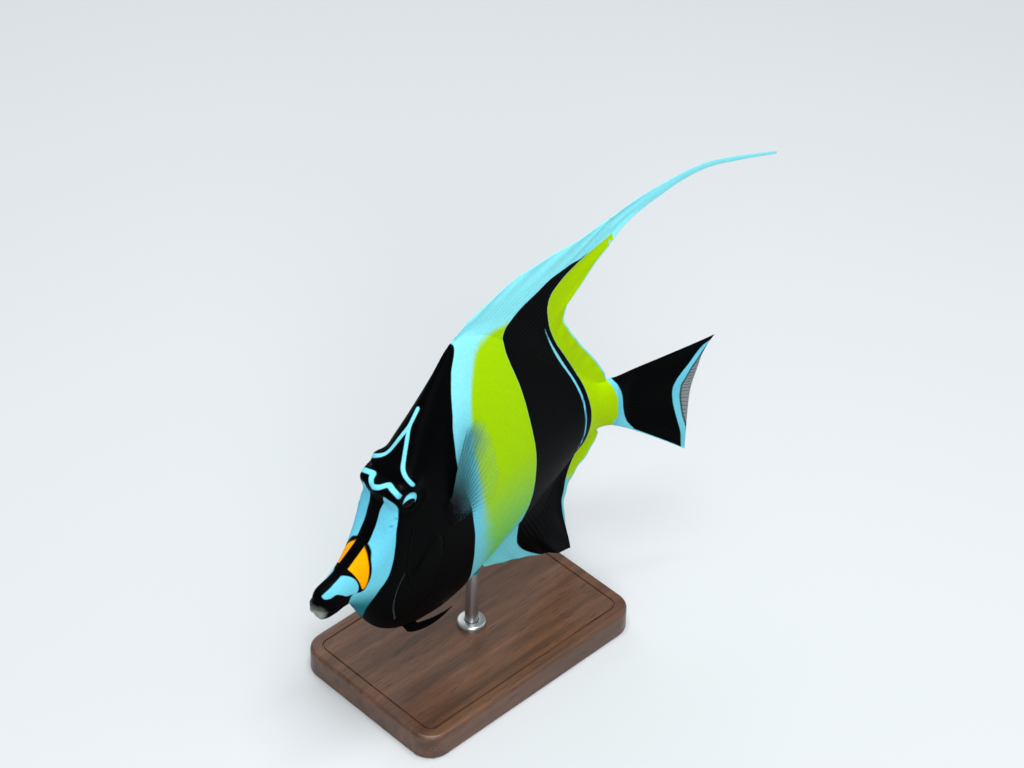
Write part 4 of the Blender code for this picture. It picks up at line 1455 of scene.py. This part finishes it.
@dataclass(frozen=True)
class FinStyle:
    """Thickness of a fin's membrane and rays, in hundredths of the standard length."""

    web_root: float = 0.15
    web_edge: float = 0.06
    rise: float = 0.05
    ray_root: float = 0.27
    ray_tip: float = 0.09
    fork: float = 0.52
    spread: float = 0.3
    slim: float = 0.8
    stem_start: float = 0.0
    tip_end: float = 0.985
    stem_points: int = 16
    tip_points: int = 16
    flesh_reach: float = 0.22
    flesh_power: float = 1.5

    def girth(self, along: Array, taper: float = 0.7) -> Array:
        """Radius of a ray, which thins towards its tip.

        Args:
            along: Places along the ray, 0 to 1.
            taper: Power of the thinning, lower where it starts sooner.

        Returns:
            The radii in hundredths of the standard length.
        """
        return self.ray_root + (self.ray_tip - self.ray_root) * along ** taper

    def branches(self) -> list[tuple[Array, Array, Array]]:
        """The stem of a ray and the two branches that it forks into.

        Returns:
            For each one: places along the ray, how far it strays aside as a share of the space
            between two rays, and its radius in metres.
        """
        stem = np.linspace(self.stem_start, self.fork, self.stem_points)
        tips = np.linspace(self.fork, self.tip_end, self.tip_points)
        away = smooth_step(self.fork, 1.0, tips) * self.spread
        thin = self.girth(tips) * self.slim * UNIT
        return [(stem, 0 * stem, self.girth(stem) * UNIT), (tips, away, thin), (tips, -away, thin)]


def thickness(part: Array, phase: Array, root: Array, style: FinStyle) -> Array:
    """Half thickness of a fin, fleshy at its root and fluted by its rays.

    Args:
        part: How far along the ray, 0 to 1.
        phase: Count of rays from the front, so that a whole number is on a ray.
        root: Half thickness where the fin leaves the body.
        style: The fin's sizes.

    Returns:
        The half thickness at each place.
    """
    web = style.web_root + (style.web_edge - style.web_root) * part
    fade = np.maximum(0.0, 1 - part / style.flesh_reach) ** style.flesh_power
    flesh = np.maximum(root - web, 0.0) * fade
    single = np.cos(np.pi * phase) ** 6
    double = np.cos(2 * np.pi * phase) ** 4
    share = smooth_step(style.fork - 0.05, style.fork + 0.2, part)
    return web + flesh + style.rise * (single * (1 - share) + double * share) * (1 - 0.6 * part)


@dataclass(frozen=True)
class MidlineFin:
    """A fin in the middle plane, whose rays run from the body's outline to its own free edge."""

    front: float
    back: float
    rays: int
    edge_station: Curve
    edge_height: Curve
    columns: int = 330
    rows: int = 64
    style: FinStyle = FinStyle()
    wave: float = 0.28
    sunk: float = 0.35
    rim_from: float = 60.0
    rim: float = 0.34
    pale_rim: float = 0.54

    def outline(self, foot: Array) -> Array:
        """Height of the body where the fin leaves it."""
        raise NotImplementedError

    def root(self, foot: Array) -> Array:
        """Half thickness of the body where the fin leaves it."""
        raise NotImplementedError

    def at(self, foot: Array, part: Array) -> tuple[Array, Array, Array]:
        """Places along the rays.

        Args:
            foot: Where each ray leaves the body.
            part: How far along the ray.

        Returns:
            Station, side and height.
        """
        base = self.outline(foot)
        low = base + (self.sunk if self.edge_height(self.front) < 0 else -self.sunk)
        station = foot + (self.edge_station(foot) - foot) * part
        height = low + (self.edge_height(foot) - low) * part
        side = self.wave * np.sin(foot * 0.55 + part * 2.5) * smooth_step(0.25, 1.0, part)
        side = side + 0.12 * np.sin(foot * 1.7 - part * 3.0) * smooth_step(0.4, 1.0, part)
        return station, side, height

    def rim_depth(self, station: Array, height: Array) -> Array:
        """Distance from the fin's trailing edge.

        Args:
            station: Places along the spine.
            height: Heights above the mouth.

        Returns:
            The distances.
        """
        feet = np.linspace(self.rim_from, self.back, 120)
        path = np.stack([self.edge_station(feet), self.edge_height(feet)], -1)
        return nearest(np.stack([station, height], -1), path)

    def paint(self, station: Array, side: Array, height: Array) -> dict[str, Array]:
        """Colours of the fin, with a pale rim along its trailing edge.

        Args:
            station: Places along the spine.
            side: Distances from the middle plane.
            height: Heights above the mouth.

        Returns:
            The depth in each colour by its name.
        """
        fields = MARKINGS.body(station, side, height)
        rim = self.rim_depth(station, height)
        behind = fields["yellow"] > -0.2
        fields["yellow"] = np.minimum(fields["yellow"], rim - self.rim)
        pale = np.maximum(fields["pale"], self.pale_rim - rim)
        fields["pale"] = np.where(behind, pale, fields["pale"])
        fields["clear"] = np.zeros_like(station)
        return fields

    def ray_lines(self) -> tuple[list[Array], list[Array], dict[str, Array]]:
        """All the rays and their branches.

        Returns:
            The path and the radii of each, and the colours of all their points.
        """
        paths, girths, places = [], [], []
        width = (self.back - self.front) / self.rays
        for k in range(self.rays + 1):
            foot = self.front + width * k
            for part, shift, girth in self.style.branches():
                feet = np.clip(foot + width * shift, self.front, self.back)
                place = self.at(feet, part)
                paths.append(FORM.place(*place, feet))
                girths.append(girth)
                places.append(np.stack(place))
        return paths, girths, self.paint(*np.concatenate(places, axis=1))

    def build(self, name: str, slot: Slot, nodes: tuple[str, ...], finish: bpy.types.Material,
              rays: RayTree) -> None:
        """Make the membrane and its rays, and put them in place of their solids.

        Args:
            name: The first part of the pieces' names.
            slot: The record's finish.
            nodes: The solids that they replace.
            finish: Their material.
            rays: The tree that grows the rays.
        """
        sheet = self.sheet()
        fields = self.paint(*(value.ravel() for value in (sheet.station, sheet.side, sheet.height)))
        sheet.dress(name, fields, slot, nodes, finish)
        paths, girths, colours = self.ray_lines()
        grown = rays.grow(f"{name}_rays", paths, girths, colours, finish)
        hand_over(grown, slot)

    def sheet(self) -> Sheet:
        """The membrane.

        Returns:
            The fin from its front to its back as a grid.
        """
        feet = np.linspace(self.front, self.back, self.columns)[:, None]
        part = np.linspace(0.0, 1.0, self.rows)[None, :] ** 1.15
        feet, part = np.broadcast_arrays(feet, part)
        station, side, height = self.at(feet, part)
        phase = (feet - self.front) / (self.back - self.front) * self.rays
        half = thickness(part, phase, self.root(feet), self.style)
        quads = grid_faces(self.columns, self.rows, False)
        return Sheet(station, side, height, half, feet, quads)


@dataclass(frozen=True)
class DorsalFin(MidlineFin):
    """Tall dorsal fin, with the long streamer that trails from its top."""

    front: float = 43.6
    back: float = 93.9
    rays: int = 46
    edge_station: Curve = Curve(
        (43.6, 44.3), (46, 51.7), (50, 68.0), (54, 82.0), (58, 94.5), (65.5, 94.5), (67, 90.2),
        (68.5, 86.6), (70.5, 82.9), (72.5, 80.9), (74.5, 80.3), (77, 81.6), (80, 84.2), (83, 87.2),
        (86.5, 90.6), (90, 93.4), (92.3, 94.8), (93.9, 95.4))
    edge_height: Curve = Curve(
        (43.6, 58.2), (46, 61.4), (50, 64.8), (54, 65.6), (58, 66.8), (65.5, 59.3), (67, 56.0),
        (68.5, 52.7), (70.5, 49.5), (72.5, 46.6), (74.5, 43.9), (77, 40.5), (80, 36.2), (83, 31.7),
        (86.5, 26.9), (90, 22.2), (92.3, 19.4), (93.9, 17.7))
    rim_from: float = 65.0
    streamer_feet: tuple[float, float] = (58.0, 65.5)
    streamer_start: float = 94.5
    streamer_end: float = 154.0
    streamer_steps: int = 150
    streamer_sway: float = 0.5
    streamer_waves: float = 7.0
    streamer_flesh: float = 0.12
    streamer_lead: float = 0.06
    streamer_upper: Curve = Curve((94.5, 66.8), (99, 67.5), (109.7, 68.4), (117.5, 68.2), (125.6, 67.1),
                                  (140, 62.9), (154.0, 58.2))
    streamer_lower: Curve = Curve((94.5, 59.3), (98.3, 61.8), (102.1, 63.3), (109.9, 64.9), (117.9, 65.8),
                                  (126, 65.2), (140, 61.6), (154.0, 57.4))

    def outline(self, foot: Array) -> Array:
        """Height of the back."""
        return FORM.back(foot)

    def root(self, foot: Array) -> Array:
        """Half thickness of the back."""
        return FORM.back_edge(foot)

    def sheet(self) -> Sheet:
        """The membrane, which runs on into the streamer.

        Returns:
            The fin's grid with the streamer's places after it.
        """
        main = super().sheet()
        feet = main.foot[:, 0]
        inside = (feet >= self.streamer_feet[0]) & (feet <= self.streamer_feet[1])
        which = np.flatnonzero(inside)
        share = (feet[which] - self.streamer_feet[0]) / (self.streamer_feet[1] - self.streamer_feet[0])
        along = np.linspace(self.streamer_start, self.streamer_end, self.streamer_steps + 1)[1:][None, :]
        upper = self.streamer_upper(along)
        height = upper + (self.streamer_lower(along) - upper) * share[:, None]
        station = along + 0 * height
        fade = (along - self.streamer_start) / (self.streamer_end - self.streamer_start)
        start = main.side[which, -1][:, None]
        sway = self.streamer_sway * np.sin(fade * self.streamer_waves) * smooth_step(0, 0.5, fade)
        side = start * (1 - smooth_step(0.0, 0.25, fade)) + sway
        edge = np.sin(np.pi * np.clip(share, 0.02, 0.98))[:, None]
        half = self.style.web_edge + self.streamer_flesh * edge * (1 - 0.6 * fade)
        lead = np.clip(fade / self.streamer_lead, 0, 1)
        half = main.half[which, -1][:, None] * (1 - lead) + half * lead
        count = self.columns * self.rows
        rows = self.streamer_steps
        first = which[:, None] * self.rows + self.rows - 1
        added = count + np.arange(len(which) * rows).reshape(len(which), rows)
        index = np.concatenate([first, added], axis=1)
        quads = np.stack([index[:-1, :-1], index[:-1, 1:], index[1:, 1:], index[1:, :-1]], -1)
        foot = np.repeat(feet[which][:, None], rows, axis=1)
        joined = [np.concatenate([a.ravel(), b.ravel()]) for a, b in (
            (main.station, station), (main.side, side), (main.height, height), (main.half, half),
            (main.foot, foot))]
        return Sheet(*joined, np.concatenate([main.quads, quads.reshape(-1, 4)]))


@dataclass(frozen=True)
class AnalFin(MidlineFin):
    """Anal fin, which ends in a rounded point below and behind."""

    front: float = 54.2
    back: float = 92.4
    rays: int = 36
    edge_station: Curve = Curve((54.2, 54.7), (57.5, 60.9), (61, 66.3), (64.5, 72.0), (67.5, 77.2),
                                (70, 82.4), (72, 86.2), (74, 84.9), (76, 83.3), (78.5, 82.5), (81.5, 83.9),
                                (85, 86.9), (89, 90.9), (92.4, 93.6))
    edge_height: Curve = Curve((54.2, -20.4), (57.5, -23.2), (61, -25.6), (64.5, -27.9), (67.5, -30.1),
                               (70, -33.3), (72, -34.3), (74, -28.6), (76, -22.4), (78.5, -15.9),
                               (81.5, -11.8), (85, -8.0), (89, -3.6), (92.4, 0.9))
    columns: int = 260
    rim_from: float = 75.0

    def outline(self, foot: Array) -> Array:
        """Height of the belly."""
        return FORM.belly(foot)

    def root(self, foot: Array) -> Array:
        """Half thickness of the belly."""
        return FORM.belly_edge(foot)


@dataclass(frozen=True)
class Spots:
    """Places on a fin, how far across and along it they lie, and whether a ray runs there."""

    station: Array
    side: Array
    height: Array
    share: Array
    part: Array
    on_ray: float


@dataclass(frozen=True)
class FanFin:
    """A fin spread from its own root, by share (across its rays) and part (along them)."""

    name: str
    slot: Slot
    rays: int
    columns: int
    rows: int
    style: FinStyle = FinStyle()
    sign: float = 1.0

    def at(self, share: Array, part: Array) -> tuple[Array, Array, Array]:
        """Station, side and height of places on the fin."""
        raise NotImplementedError

    def root_half(self, share: Array) -> Array | float:
        """Half thickness of the fin at its root."""
        raise NotImplementedError

    def paint(self, spots: Spots) -> dict[str, Array]:
        """Numbers for the finish at places on the fin, by their attribute's name."""
        raise NotImplementedError

    def branches(self) -> list[tuple[Array, Array, Array]]:
        """The lines that make up a ray, as its style forks it."""
        return self.style.branches()

    def build(self, finish: bpy.types.Material, rays: RayTree) -> None:
        """Make the membrane and its rays, and put them in place of the fin's solid.

        Args:
            finish: Their material.
            rays: The tree that grows the rays.
        """
        share, part = unit_grid(self.columns, self.rows)
        place = self.at(share, part)
        half = thickness(part, share * self.rays, self.root_half(share), self.style)
        sheet = Sheet(*place, half, place[0], grid_faces(self.columns, self.rows, False))
        web = Spots(*(value.ravel() for value in (*place, share, part)), 0.0)
        sheet.dress(self.name, self.paint(web), self.slot, (self.name,), finish)
        paths, girths, spots = [], [], []
        for k in range(self.rays + 1):
            for along, shift, girth in self.branches():
                across = np.clip((k + shift) / self.rays, 0.0, 1.0)
                place = self.at(across, along)
                paths.append(FORM.place(*place))
                girths.append(girth)
                spots.append(np.stack([*place, across, along]))
        colours = self.paint(Spots(*np.concatenate(spots, axis=1), 1.0))
        hand_over(rays.grow(f"{self.name}_rays", paths, girths, colours, finish), self.slot)


@dataclass(frozen=True)
class TailFin(FanFin):
    """Tail fin, a broad fan with a pale crescent and a clear hind margin."""

    name: str = "tail_fin"
    slot: Slot = Slot.BLACK_FIN
    rays: int = 22
    columns: int = 220
    rows: int = 96
    edge_station: Curve = Curve((0, 123.2), (0.16, 120.0), (0.5, 118.0), (0.84, 117.6), (1, 117.8))
    edge_height: Curve = Curve((0, 26.0), (0.16, 18.8), (0.5, 8.2), (0.84, -4.4), (1, -10.4))
    fan: float = 1.08
    overlap: float = 0.5
    wave: float = 0.22
    style: FinStyle = FinStyle(fork=0.4, web_root=0.13, spread=0.26, stem_start=0.05, tip_end=0.99,
                               stem_points=14, tip_points=18)

    def at(self, share: Array, part: Array) -> tuple[Array, Array, Array]:
        """Places on the fan.

        Args:
            share: How far across it from above.
            part: How far along the ray.

        Returns:
            Station, side and height.
        """
        start = FORM.stalk_end - self.overlap
        top = FORM.back(FORM.stalk_end)
        foot = top + (FORM.belly(FORM.stalk_end) - top) * share
        spine = 0.5 - 0.5 * np.cos(np.pi * share)
        station = start + (self.edge_station(spine) - start) * part
        height = foot + (self.edge_height(spine) - foot) * part ** self.fan
        side = self.wave * np.sin(share * 17.0 + part * 2.0) * smooth_step(0.3, 1.0, part)
        return station, side, height

    def root_half(self, share: Array) -> Array:
        """Half thickness of the stalk where the fan leaves it."""
        return FORM.half_width(FORM.stalk_end, self.at(share, 0 * share)[2])

    def paint(self, spots: Spots) -> dict[str, Array]:
        """Colours of the fan, clear behind the crescent.

        Args:
            spots: Places on the fan.

        Returns:
            The depth in each colour by its name, and how clear the fin is.
        """
        fields = MARKINGS.body(spots.station, spots.side, spots.height)
        hem = np.minimum(0.42 - (1 - spots.share) * 24.0, 0.8 - spots.part) + 0.1
        fields["pale"] = np.maximum(fields["pale"], hem)
        behind = spots.station - MARKINGS.crescent_rear(spots.height)
        fields["clear"] = smooth_step(0.05, 0.6, behind)
        fields["crease"] = np.maximum(fields["crease"], behind)
        return fields


@dataclass(frozen=True)
class BreastFin(FanFin):
    """A breast fin, raised along the body and spread like a fan."""

    slot: Slot = Slot.WHITE_FIN
    rays: int = 18
    columns: int = 160
    rows: int = 60
    top: tuple[float, float] = (35.4, 17.0)
    bottom: tuple[float, float] = (36.8, 11.0)
    turn: Curve = Curve((0, 79), (0.5, 50), (1, -16))
    reach: Curve = Curve((0, 22.6), (0.07, 24.6), (0.15, 24.4), (0.3, 22.3), (0.5, 18.2), (0.7, 14.2),
                         (0.85, 11.0), (1, 8.0))
    lift: float = 0.34
    ripple: float = 0.18
    ripples: float = 40.0
    sunk: float = 0.95
    right_stroke: float = 30.0
    half_root: float = 0.3
    half_web: float = 0.2
    ray_density: float = 0.11
    least_density: float = 0.04
    root_density: float = 0.62
    front_density: float = 0.42
    hind_fade: float = 0.85
    style: FinStyle = FinStyle(web_root=0.1, web_edge=0.04, rise=0.02, ray_root=0.16, ray_tip=0.05,
                               fork=0.45, spread=0.25, slim=1.0, tip_end=0.99, stem_points=14,
                               tip_points=14)

    def at(self, share: Array, part: Array) -> tuple[Array, Array, Array]:
        """Places on the fin.

        Args:
            share: How far across the fin from its front.
            part: How far along the ray.

        Returns:
            Station, side and height.
        """
        stroke = self.right_stroke if self.sign < 0 else 0.0
        foot_station = self.top[0] + (self.bottom[0] - self.top[0]) * share
        foot_height = self.top[1] + (self.bottom[1] - self.top[1]) * share
        turn = np.radians(self.turn(share) - stroke)
        reach = self.reach(share) * part
        station = foot_station + reach * np.cos(turn)
        height = foot_height + reach * np.sin(turn)
        flare = self.lift + reach * (0.10 + 0.06 * share) + 0.5 * part ** 2
        skin = FORM.half_width(foot_station, foot_height) - reach * 0.08
        skin = np.maximum(FORM.half_width(station, height), skin)
        ripple = self.ripple * np.sin(share * self.ripples) * smooth_step(0.4, 1.0, part)
        sunk = self.sunk * (1 - smooth_step(0.0, 0.14, part))
        return station, self.sign * (skin + flare + self.half_web + ripple - sunk), height

    def root_half(self, share: Array) -> Array | float:
        """Half thickness of the fin's fleshy root."""
        return self.half_root + 0 * share

    def paint(self, spots: Spots) -> dict[str, Array]:
        """How dense the fin looks, most at its root and front edge, and how dark.

        Args:
            spots: Places on the fin.

        Returns:
            The two numbers for each place by the name of the attribute.
        """
        share, part = spots.share, spots.part
        near = 1 - smooth_step(0.08, 0.62, part) * (1 - smooth_step(0.7, 0.95, share))
        root = (1 - smooth_step(0.1, 0.75, part)) * self.root_density
        front = (1 - smooth_step(0.0, 0.5, share)) * self.front_density
        front = front * (1 - smooth_step(0.8, 1.0, part))
        hind = 1 - self.hind_fade * smooth_step(0.72, 0.98, share)
        dense = self.least_density + root + front + self.ray_density * spots.on_ray
        return {"dense": np.clip(dense, 0.0, 0.95) * hind, "near": near}


@dataclass(frozen=True)
class BellyFin(FanFin):
    """A small pointed belly fin, folded back along the keel."""

    slot: Slot = Slot.BLACK_FIN
    rays: int = 6
    columns: int = 60
    rows: int = 60
    root: tuple[float, float] = (26.5, 30.5)
    tip: tuple[float, float] = (42.0, 38.0)
    side: float = 1.3
    spread: float = 1.2
    depth: float = 2.1
    drop: float = 0.9
    half_root: float = 0.3
    ray_steps: int = 24
    style: FinStyle = FinStyle(web_root=0.14, web_edge=0.06, ray_root=0.24, ray_tip=0.08, fork=0.7)

    def at(self, share: Array, part: Array) -> tuple[Array, Array, Array]:
        """Places on the fin.

        Args:
            share: How far across it.
            part: How far along the ray.

        Returns:
            Station, side and height.
        """
        foot = self.root[0] + (self.root[1] - self.root[0]) * share
        tip = self.tip[0] + (self.tip[1] - self.tip[0]) * share ** 0.8
        station = foot + (tip - foot) * part
        side = self.side + self.spread * part
        bow = np.sin(np.pi * np.minimum(part * 0.8 + 0.12, 1.0))
        depth = (1 - share) * self.depth * bow + self.drop * part
        lead = smooth_step(0.0, 0.12, part)
        under = FORM.under_side(station, np.maximum(side - 0.8, 0.0))
        height = under - (GAP * 1.6 + 0.15 + depth) * lead + 0.3 * (1 - lead)
        return station, self.sign * (side + 0 * share), height

    def root_half(self, share: Array) -> Array | float:
        """Half thickness of the fin at its root."""
        return self.half_root + 0 * share

    def branches(self) -> list[tuple[Array, Array, Array]]:
        """The one line of a ray, which doesn't fork."""
        along = np.linspace(0.02, 0.99, self.ray_steps)
        return [(along, 0 * along, self.style.girth(along, 1.0) * UNIT)]

    def paint(self, spots: Spots) -> dict[str, Array]:
        """Numbers that leave every place black."""
        outside = np.full(spots.station.size, OUTSIDE)
        return {**{key: outside for key in COLOURS}, "clear": np.zeros_like(outside)}


@dataclass(frozen=True)
class Stand:
    """Flat wooden base with a steel rod up to the belly, and a collar where the rod enters the wood."""

    length: float = 0.100
    width: float = 0.066
    height: float = 0.010
    corner: float = 0.008
    bevel: float = 0.0015
    groove: float = 0.0005
    rod_radius: float = 0.0024
    rod_station: float = 51.0
    rod_sides: int = 64
    collar_radius: float = 0.0052
    collar_height: float = 0.0022
    groove_inset: float = 0.0042
    groove_width: float = 0.0008
    groove_slope: float = 0.0002
    top_inset: float = 0.0070
    foot_chamfer: float = 0.0004
    corner_steps: int = 12
    bevel_steps: int = 6
    crease: float = 35.0

    def outline(self, inset: float, level: float) -> list[tuple[float, float, float]]:
        """Points round the base at one level.

        Args:
            inset: How far they are drawn in from the edge, in metres.
            level: Their height above the floor.

        Returns:
            The points in turn.
        """
        points = []
        radius = self.corner - inset
        for quarter in range(4):
            cx = (self.length / 2 - self.corner) * (1 if quarter in (0, 3) else -1)
            cy = (self.width / 2 - self.corner) * (1 if quarter in (0, 1) else -1)
            for step in range(self.corner_steps + 1):
                angle = math.radians(90 * quarter + 90 * step / self.corner_steps)
                points.append((cx + radius * math.cos(angle), cy + radius * math.sin(angle), level))
        return points

    def build_base(self, finish: bpy.types.Material) -> None:
        """Make the base, with a soft upper edge and a fine routed line round its top.

        Args:
            finish: Its material.
        """
        levels = [(self.foot_chamfer, 0.0), (0.0, 0.0005), (0.0, self.height - self.bevel)]
        for step in range(1, self.bevel_steps + 1):
            angle = math.radians(90 * step / self.bevel_steps)
            levels.append((self.bevel * (1 - math.cos(angle)),
                           self.height - self.bevel + self.bevel * math.sin(angle)))
        line, wide, slope = self.groove_inset, self.groove_width, self.groove_slope
        floor = self.height - self.groove
        levels += [(line, self.height), (line + slope, floor), (line + wide - slope, floor),
                   (line + wide, self.height), (self.top_inset, self.height)]
        points = []
        for inset, level in levels:
            points += self.outline(inset, level)
        faces = capped_grid(len(levels), len(points) // len(levels))
        piece = make_piece("stand_base_block", np.array(points), faces, finish, crease=self.crease)
        hand_over(piece, Slot.BASE, "stand_base")

    def turned(self, name: str, profile: list[tuple[float, float]],
               finish: bpy.types.Material) -> bpy.types.Object:
        """A turned piece on the rod's axis.

        Args:
            name: The piece's name.
            profile: Pairs of radius and height, in metres.
            finish: Its material.

        Returns:
            The piece.
        """
        centre = (self.rod_station - BASE_CENTRE_STATION) * UNIT
        points = []
        for radius, level in profile:
            for k in range(self.rod_sides):
                angle = 2 * math.pi * k / self.rod_sides
                points.append((centre + radius * math.cos(angle), radius * math.sin(angle), level))
        faces = capped_grid(len(profile), self.rod_sides)
        return make_piece(name, np.array(points), faces, finish, crease=self.crease)

    def build_rod(self, finish: bpy.types.Material) -> None:
        """Make the rod and its collar.

        Args:
            finish: Their material.
        """
        top = MOUTH_LEVEL + float(FORM.belly(self.rod_station)) * UNIT
        r = self.rod_radius
        rod = self.turned("stand_rod_steel", [(r, self.height + 0.0002), (r, self.height + 0.001),
                          (r, top - 0.0005), (r, top + 0.0004)], finish)
        hand_over(rod, Slot.ROD, "stand_rod")
        low, high = self.height, self.height + self.collar_height
        wide = self.collar_radius
        profile = [(wide, low), (wide, high - 0.0007), (wide - 0.0002, high - 0.0003),
                   (wide - 0.0007, high), (r + 0.0002, high), (r + 0.0002, low)]
        collar = self.turned("stand_collar", profile, finish)
        hand_over(collar, Slot.ROD)


@dataclass(frozen=True)
class SoftLight:
    """A square soft light, with its place and side in metres and its power in watts."""

    name: str
    place: tuple[float, float, float]
    size: float
    power: float

    def build(self, target: Vector) -> None:
        """Hang the light and turn it to the fish.

        Args:
            target: The point that it faces.
        """
        data = bpy.data.lights.new(self.name, "AREA")
        data.shape = "SQUARE"
        data.size = self.size
        data.energy = self.power
        light = put_in_scene(self.name, data)
        light.location = self.place
        light.rotation_euler = (target - Vector(self.place)).to_track_quat("-Z", "Y").to_euler()


@dataclass(frozen=True)
class Studio:
    """Pale floor, soft lights and the camera at the photograph's viewing angle."""

    azimuth: float = math.radians(-45.0)
    elevation: float = math.radians(39.5)
    roll: float = math.radians(-1.5)
    distance: float = 0.950
    target: tuple[float, float, float] = (63.2, 0.0, 33.3)
    lens: float = 100.3
    sensor: float = 36.0
    floor_size: float = 6.0
    background: str = "E4E8EA"
    ambient: float = 0.5
    lit_point: tuple[float, float, float] = (0.0, 0.0, 0.09)
    lights: tuple[SoftLight, ...] = (
        SoftLight("overhead", (-0.05, -0.15, 1.1), 0.6, 11.0),
        SoftLight("key", (-0.75, -0.95, 0.8), 0.6, 8.0),
        SoftLight("fill", (0.9, -0.5, 0.5), 0.8, 1.5),
        SoftLight("far fill", (0.35, 0.95, 0.7), 0.8, 2.5))

    def build_floor(self) -> None:
        """A wide flat floor."""
        half = self.floor_size / 2
        points = np.array([(-half, -half, 0), (half, -half, 0), (half, half, 0), (-half, half, 0)], float)
        floor = make_piece("floor", points, [(0, 1, 2, 3)], PaleFloor().build())

    def build_lights(self) -> None:
        """A large overhead light, a key from the camera's side and two weak fills, with a pale sky."""
        for light in self.lights:
            light.build(Vector(self.lit_point))
        world = bpy.data.worlds.new("studio")
        world.use_nodes = True
        sky = world.node_tree.nodes["Background"]
        sky.inputs["Color"].default_value = linear(self.background)
        sky.inputs["Strength"].default_value = self.ambient
        bpy.context.scene.world = world
        bpy.context.scene.view_settings.view_transform = "Standard"

    def build_camera(self) -> None:
        """The camera, turned a little about its own axis as the photograph is."""
        flat = math.cos(self.elevation)
        away = Vector((math.sin(self.azimuth) * flat, -math.cos(self.azimuth) * flat,
                       math.sin(self.elevation)))
        aim = Vector(FORM.place(*self.target)[0])
        right = (-away).cross(Vector((0, 0, 1))).normalized()
        up = right.cross(-away)
        turned_right = right * math.cos(self.roll) - up * math.sin(self.roll)
        turned_up = up * math.cos(self.roll) + right * math.sin(self.roll)
        data = bpy.data.cameras.new("camera")
        data.lens = self.lens
        data.sensor_width = self.sensor
        camera = put_in_scene("camera", data)
        turn = Matrix((turned_right, turned_up, away)).transposed().to_4x4()
        camera.matrix_world = Matrix.Translation(aim + away * self.distance) @ turn
        bpy.context.scene.camera = camera


def corners(box: tuple[Vector, Vector]) -> list[list[float]]:
    """The two corners of a box as plain lists."""
    return [[float(value) for value in corner] for corner in box]


def main() -> None:
    """Build every piece in order."""
    logging.basicConfig(level=logging.INFO, format="%(name)s: %(message)s")
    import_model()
    studio = Studio()
    studio.build_camera()
    studio.build_lights()
    studio.build_floor()
    skin = FishSkin().build()
    fin = FishSkin(name="fin_skin", roughness=0.36, see_through=0.5).build()
    Skin().build(skin)
    eye = EyeGloss().build()
    horn = HornBone().build()
    for left in (True, False):
        EYE.build(left, eye)
        Horn().build(left, horn)
    rays = RayTree()
    DorsalFin().build("dorsal_fin", Slot.WHITE_FIN, ("dorsal_fin", "dorsal_streamer"), fin, rays)
    AnalFin().build("anal_fin", Slot.BLACK_FIN, ("anal_fin",), fin, rays)
    TailFin().build(fin, rays)
    membrane = FinMembrane().build()
    BreastFin("pectoral_fin_left").build(membrane, rays)
    BellyFin("pelvic_fin_left").build(fin, rays)
    BreastFin("pectoral_fin_right", sign=-1.0).build(membrane, rays)
    BellyFin("pelvic_fin_right", sign=-1.0).build(fin, rays)
    stand = Stand()
    stand.build_base(Walnut().build())
    stand.build_rod(BrushedSteel().build())
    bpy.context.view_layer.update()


if __name__ == "__main__":
    main()
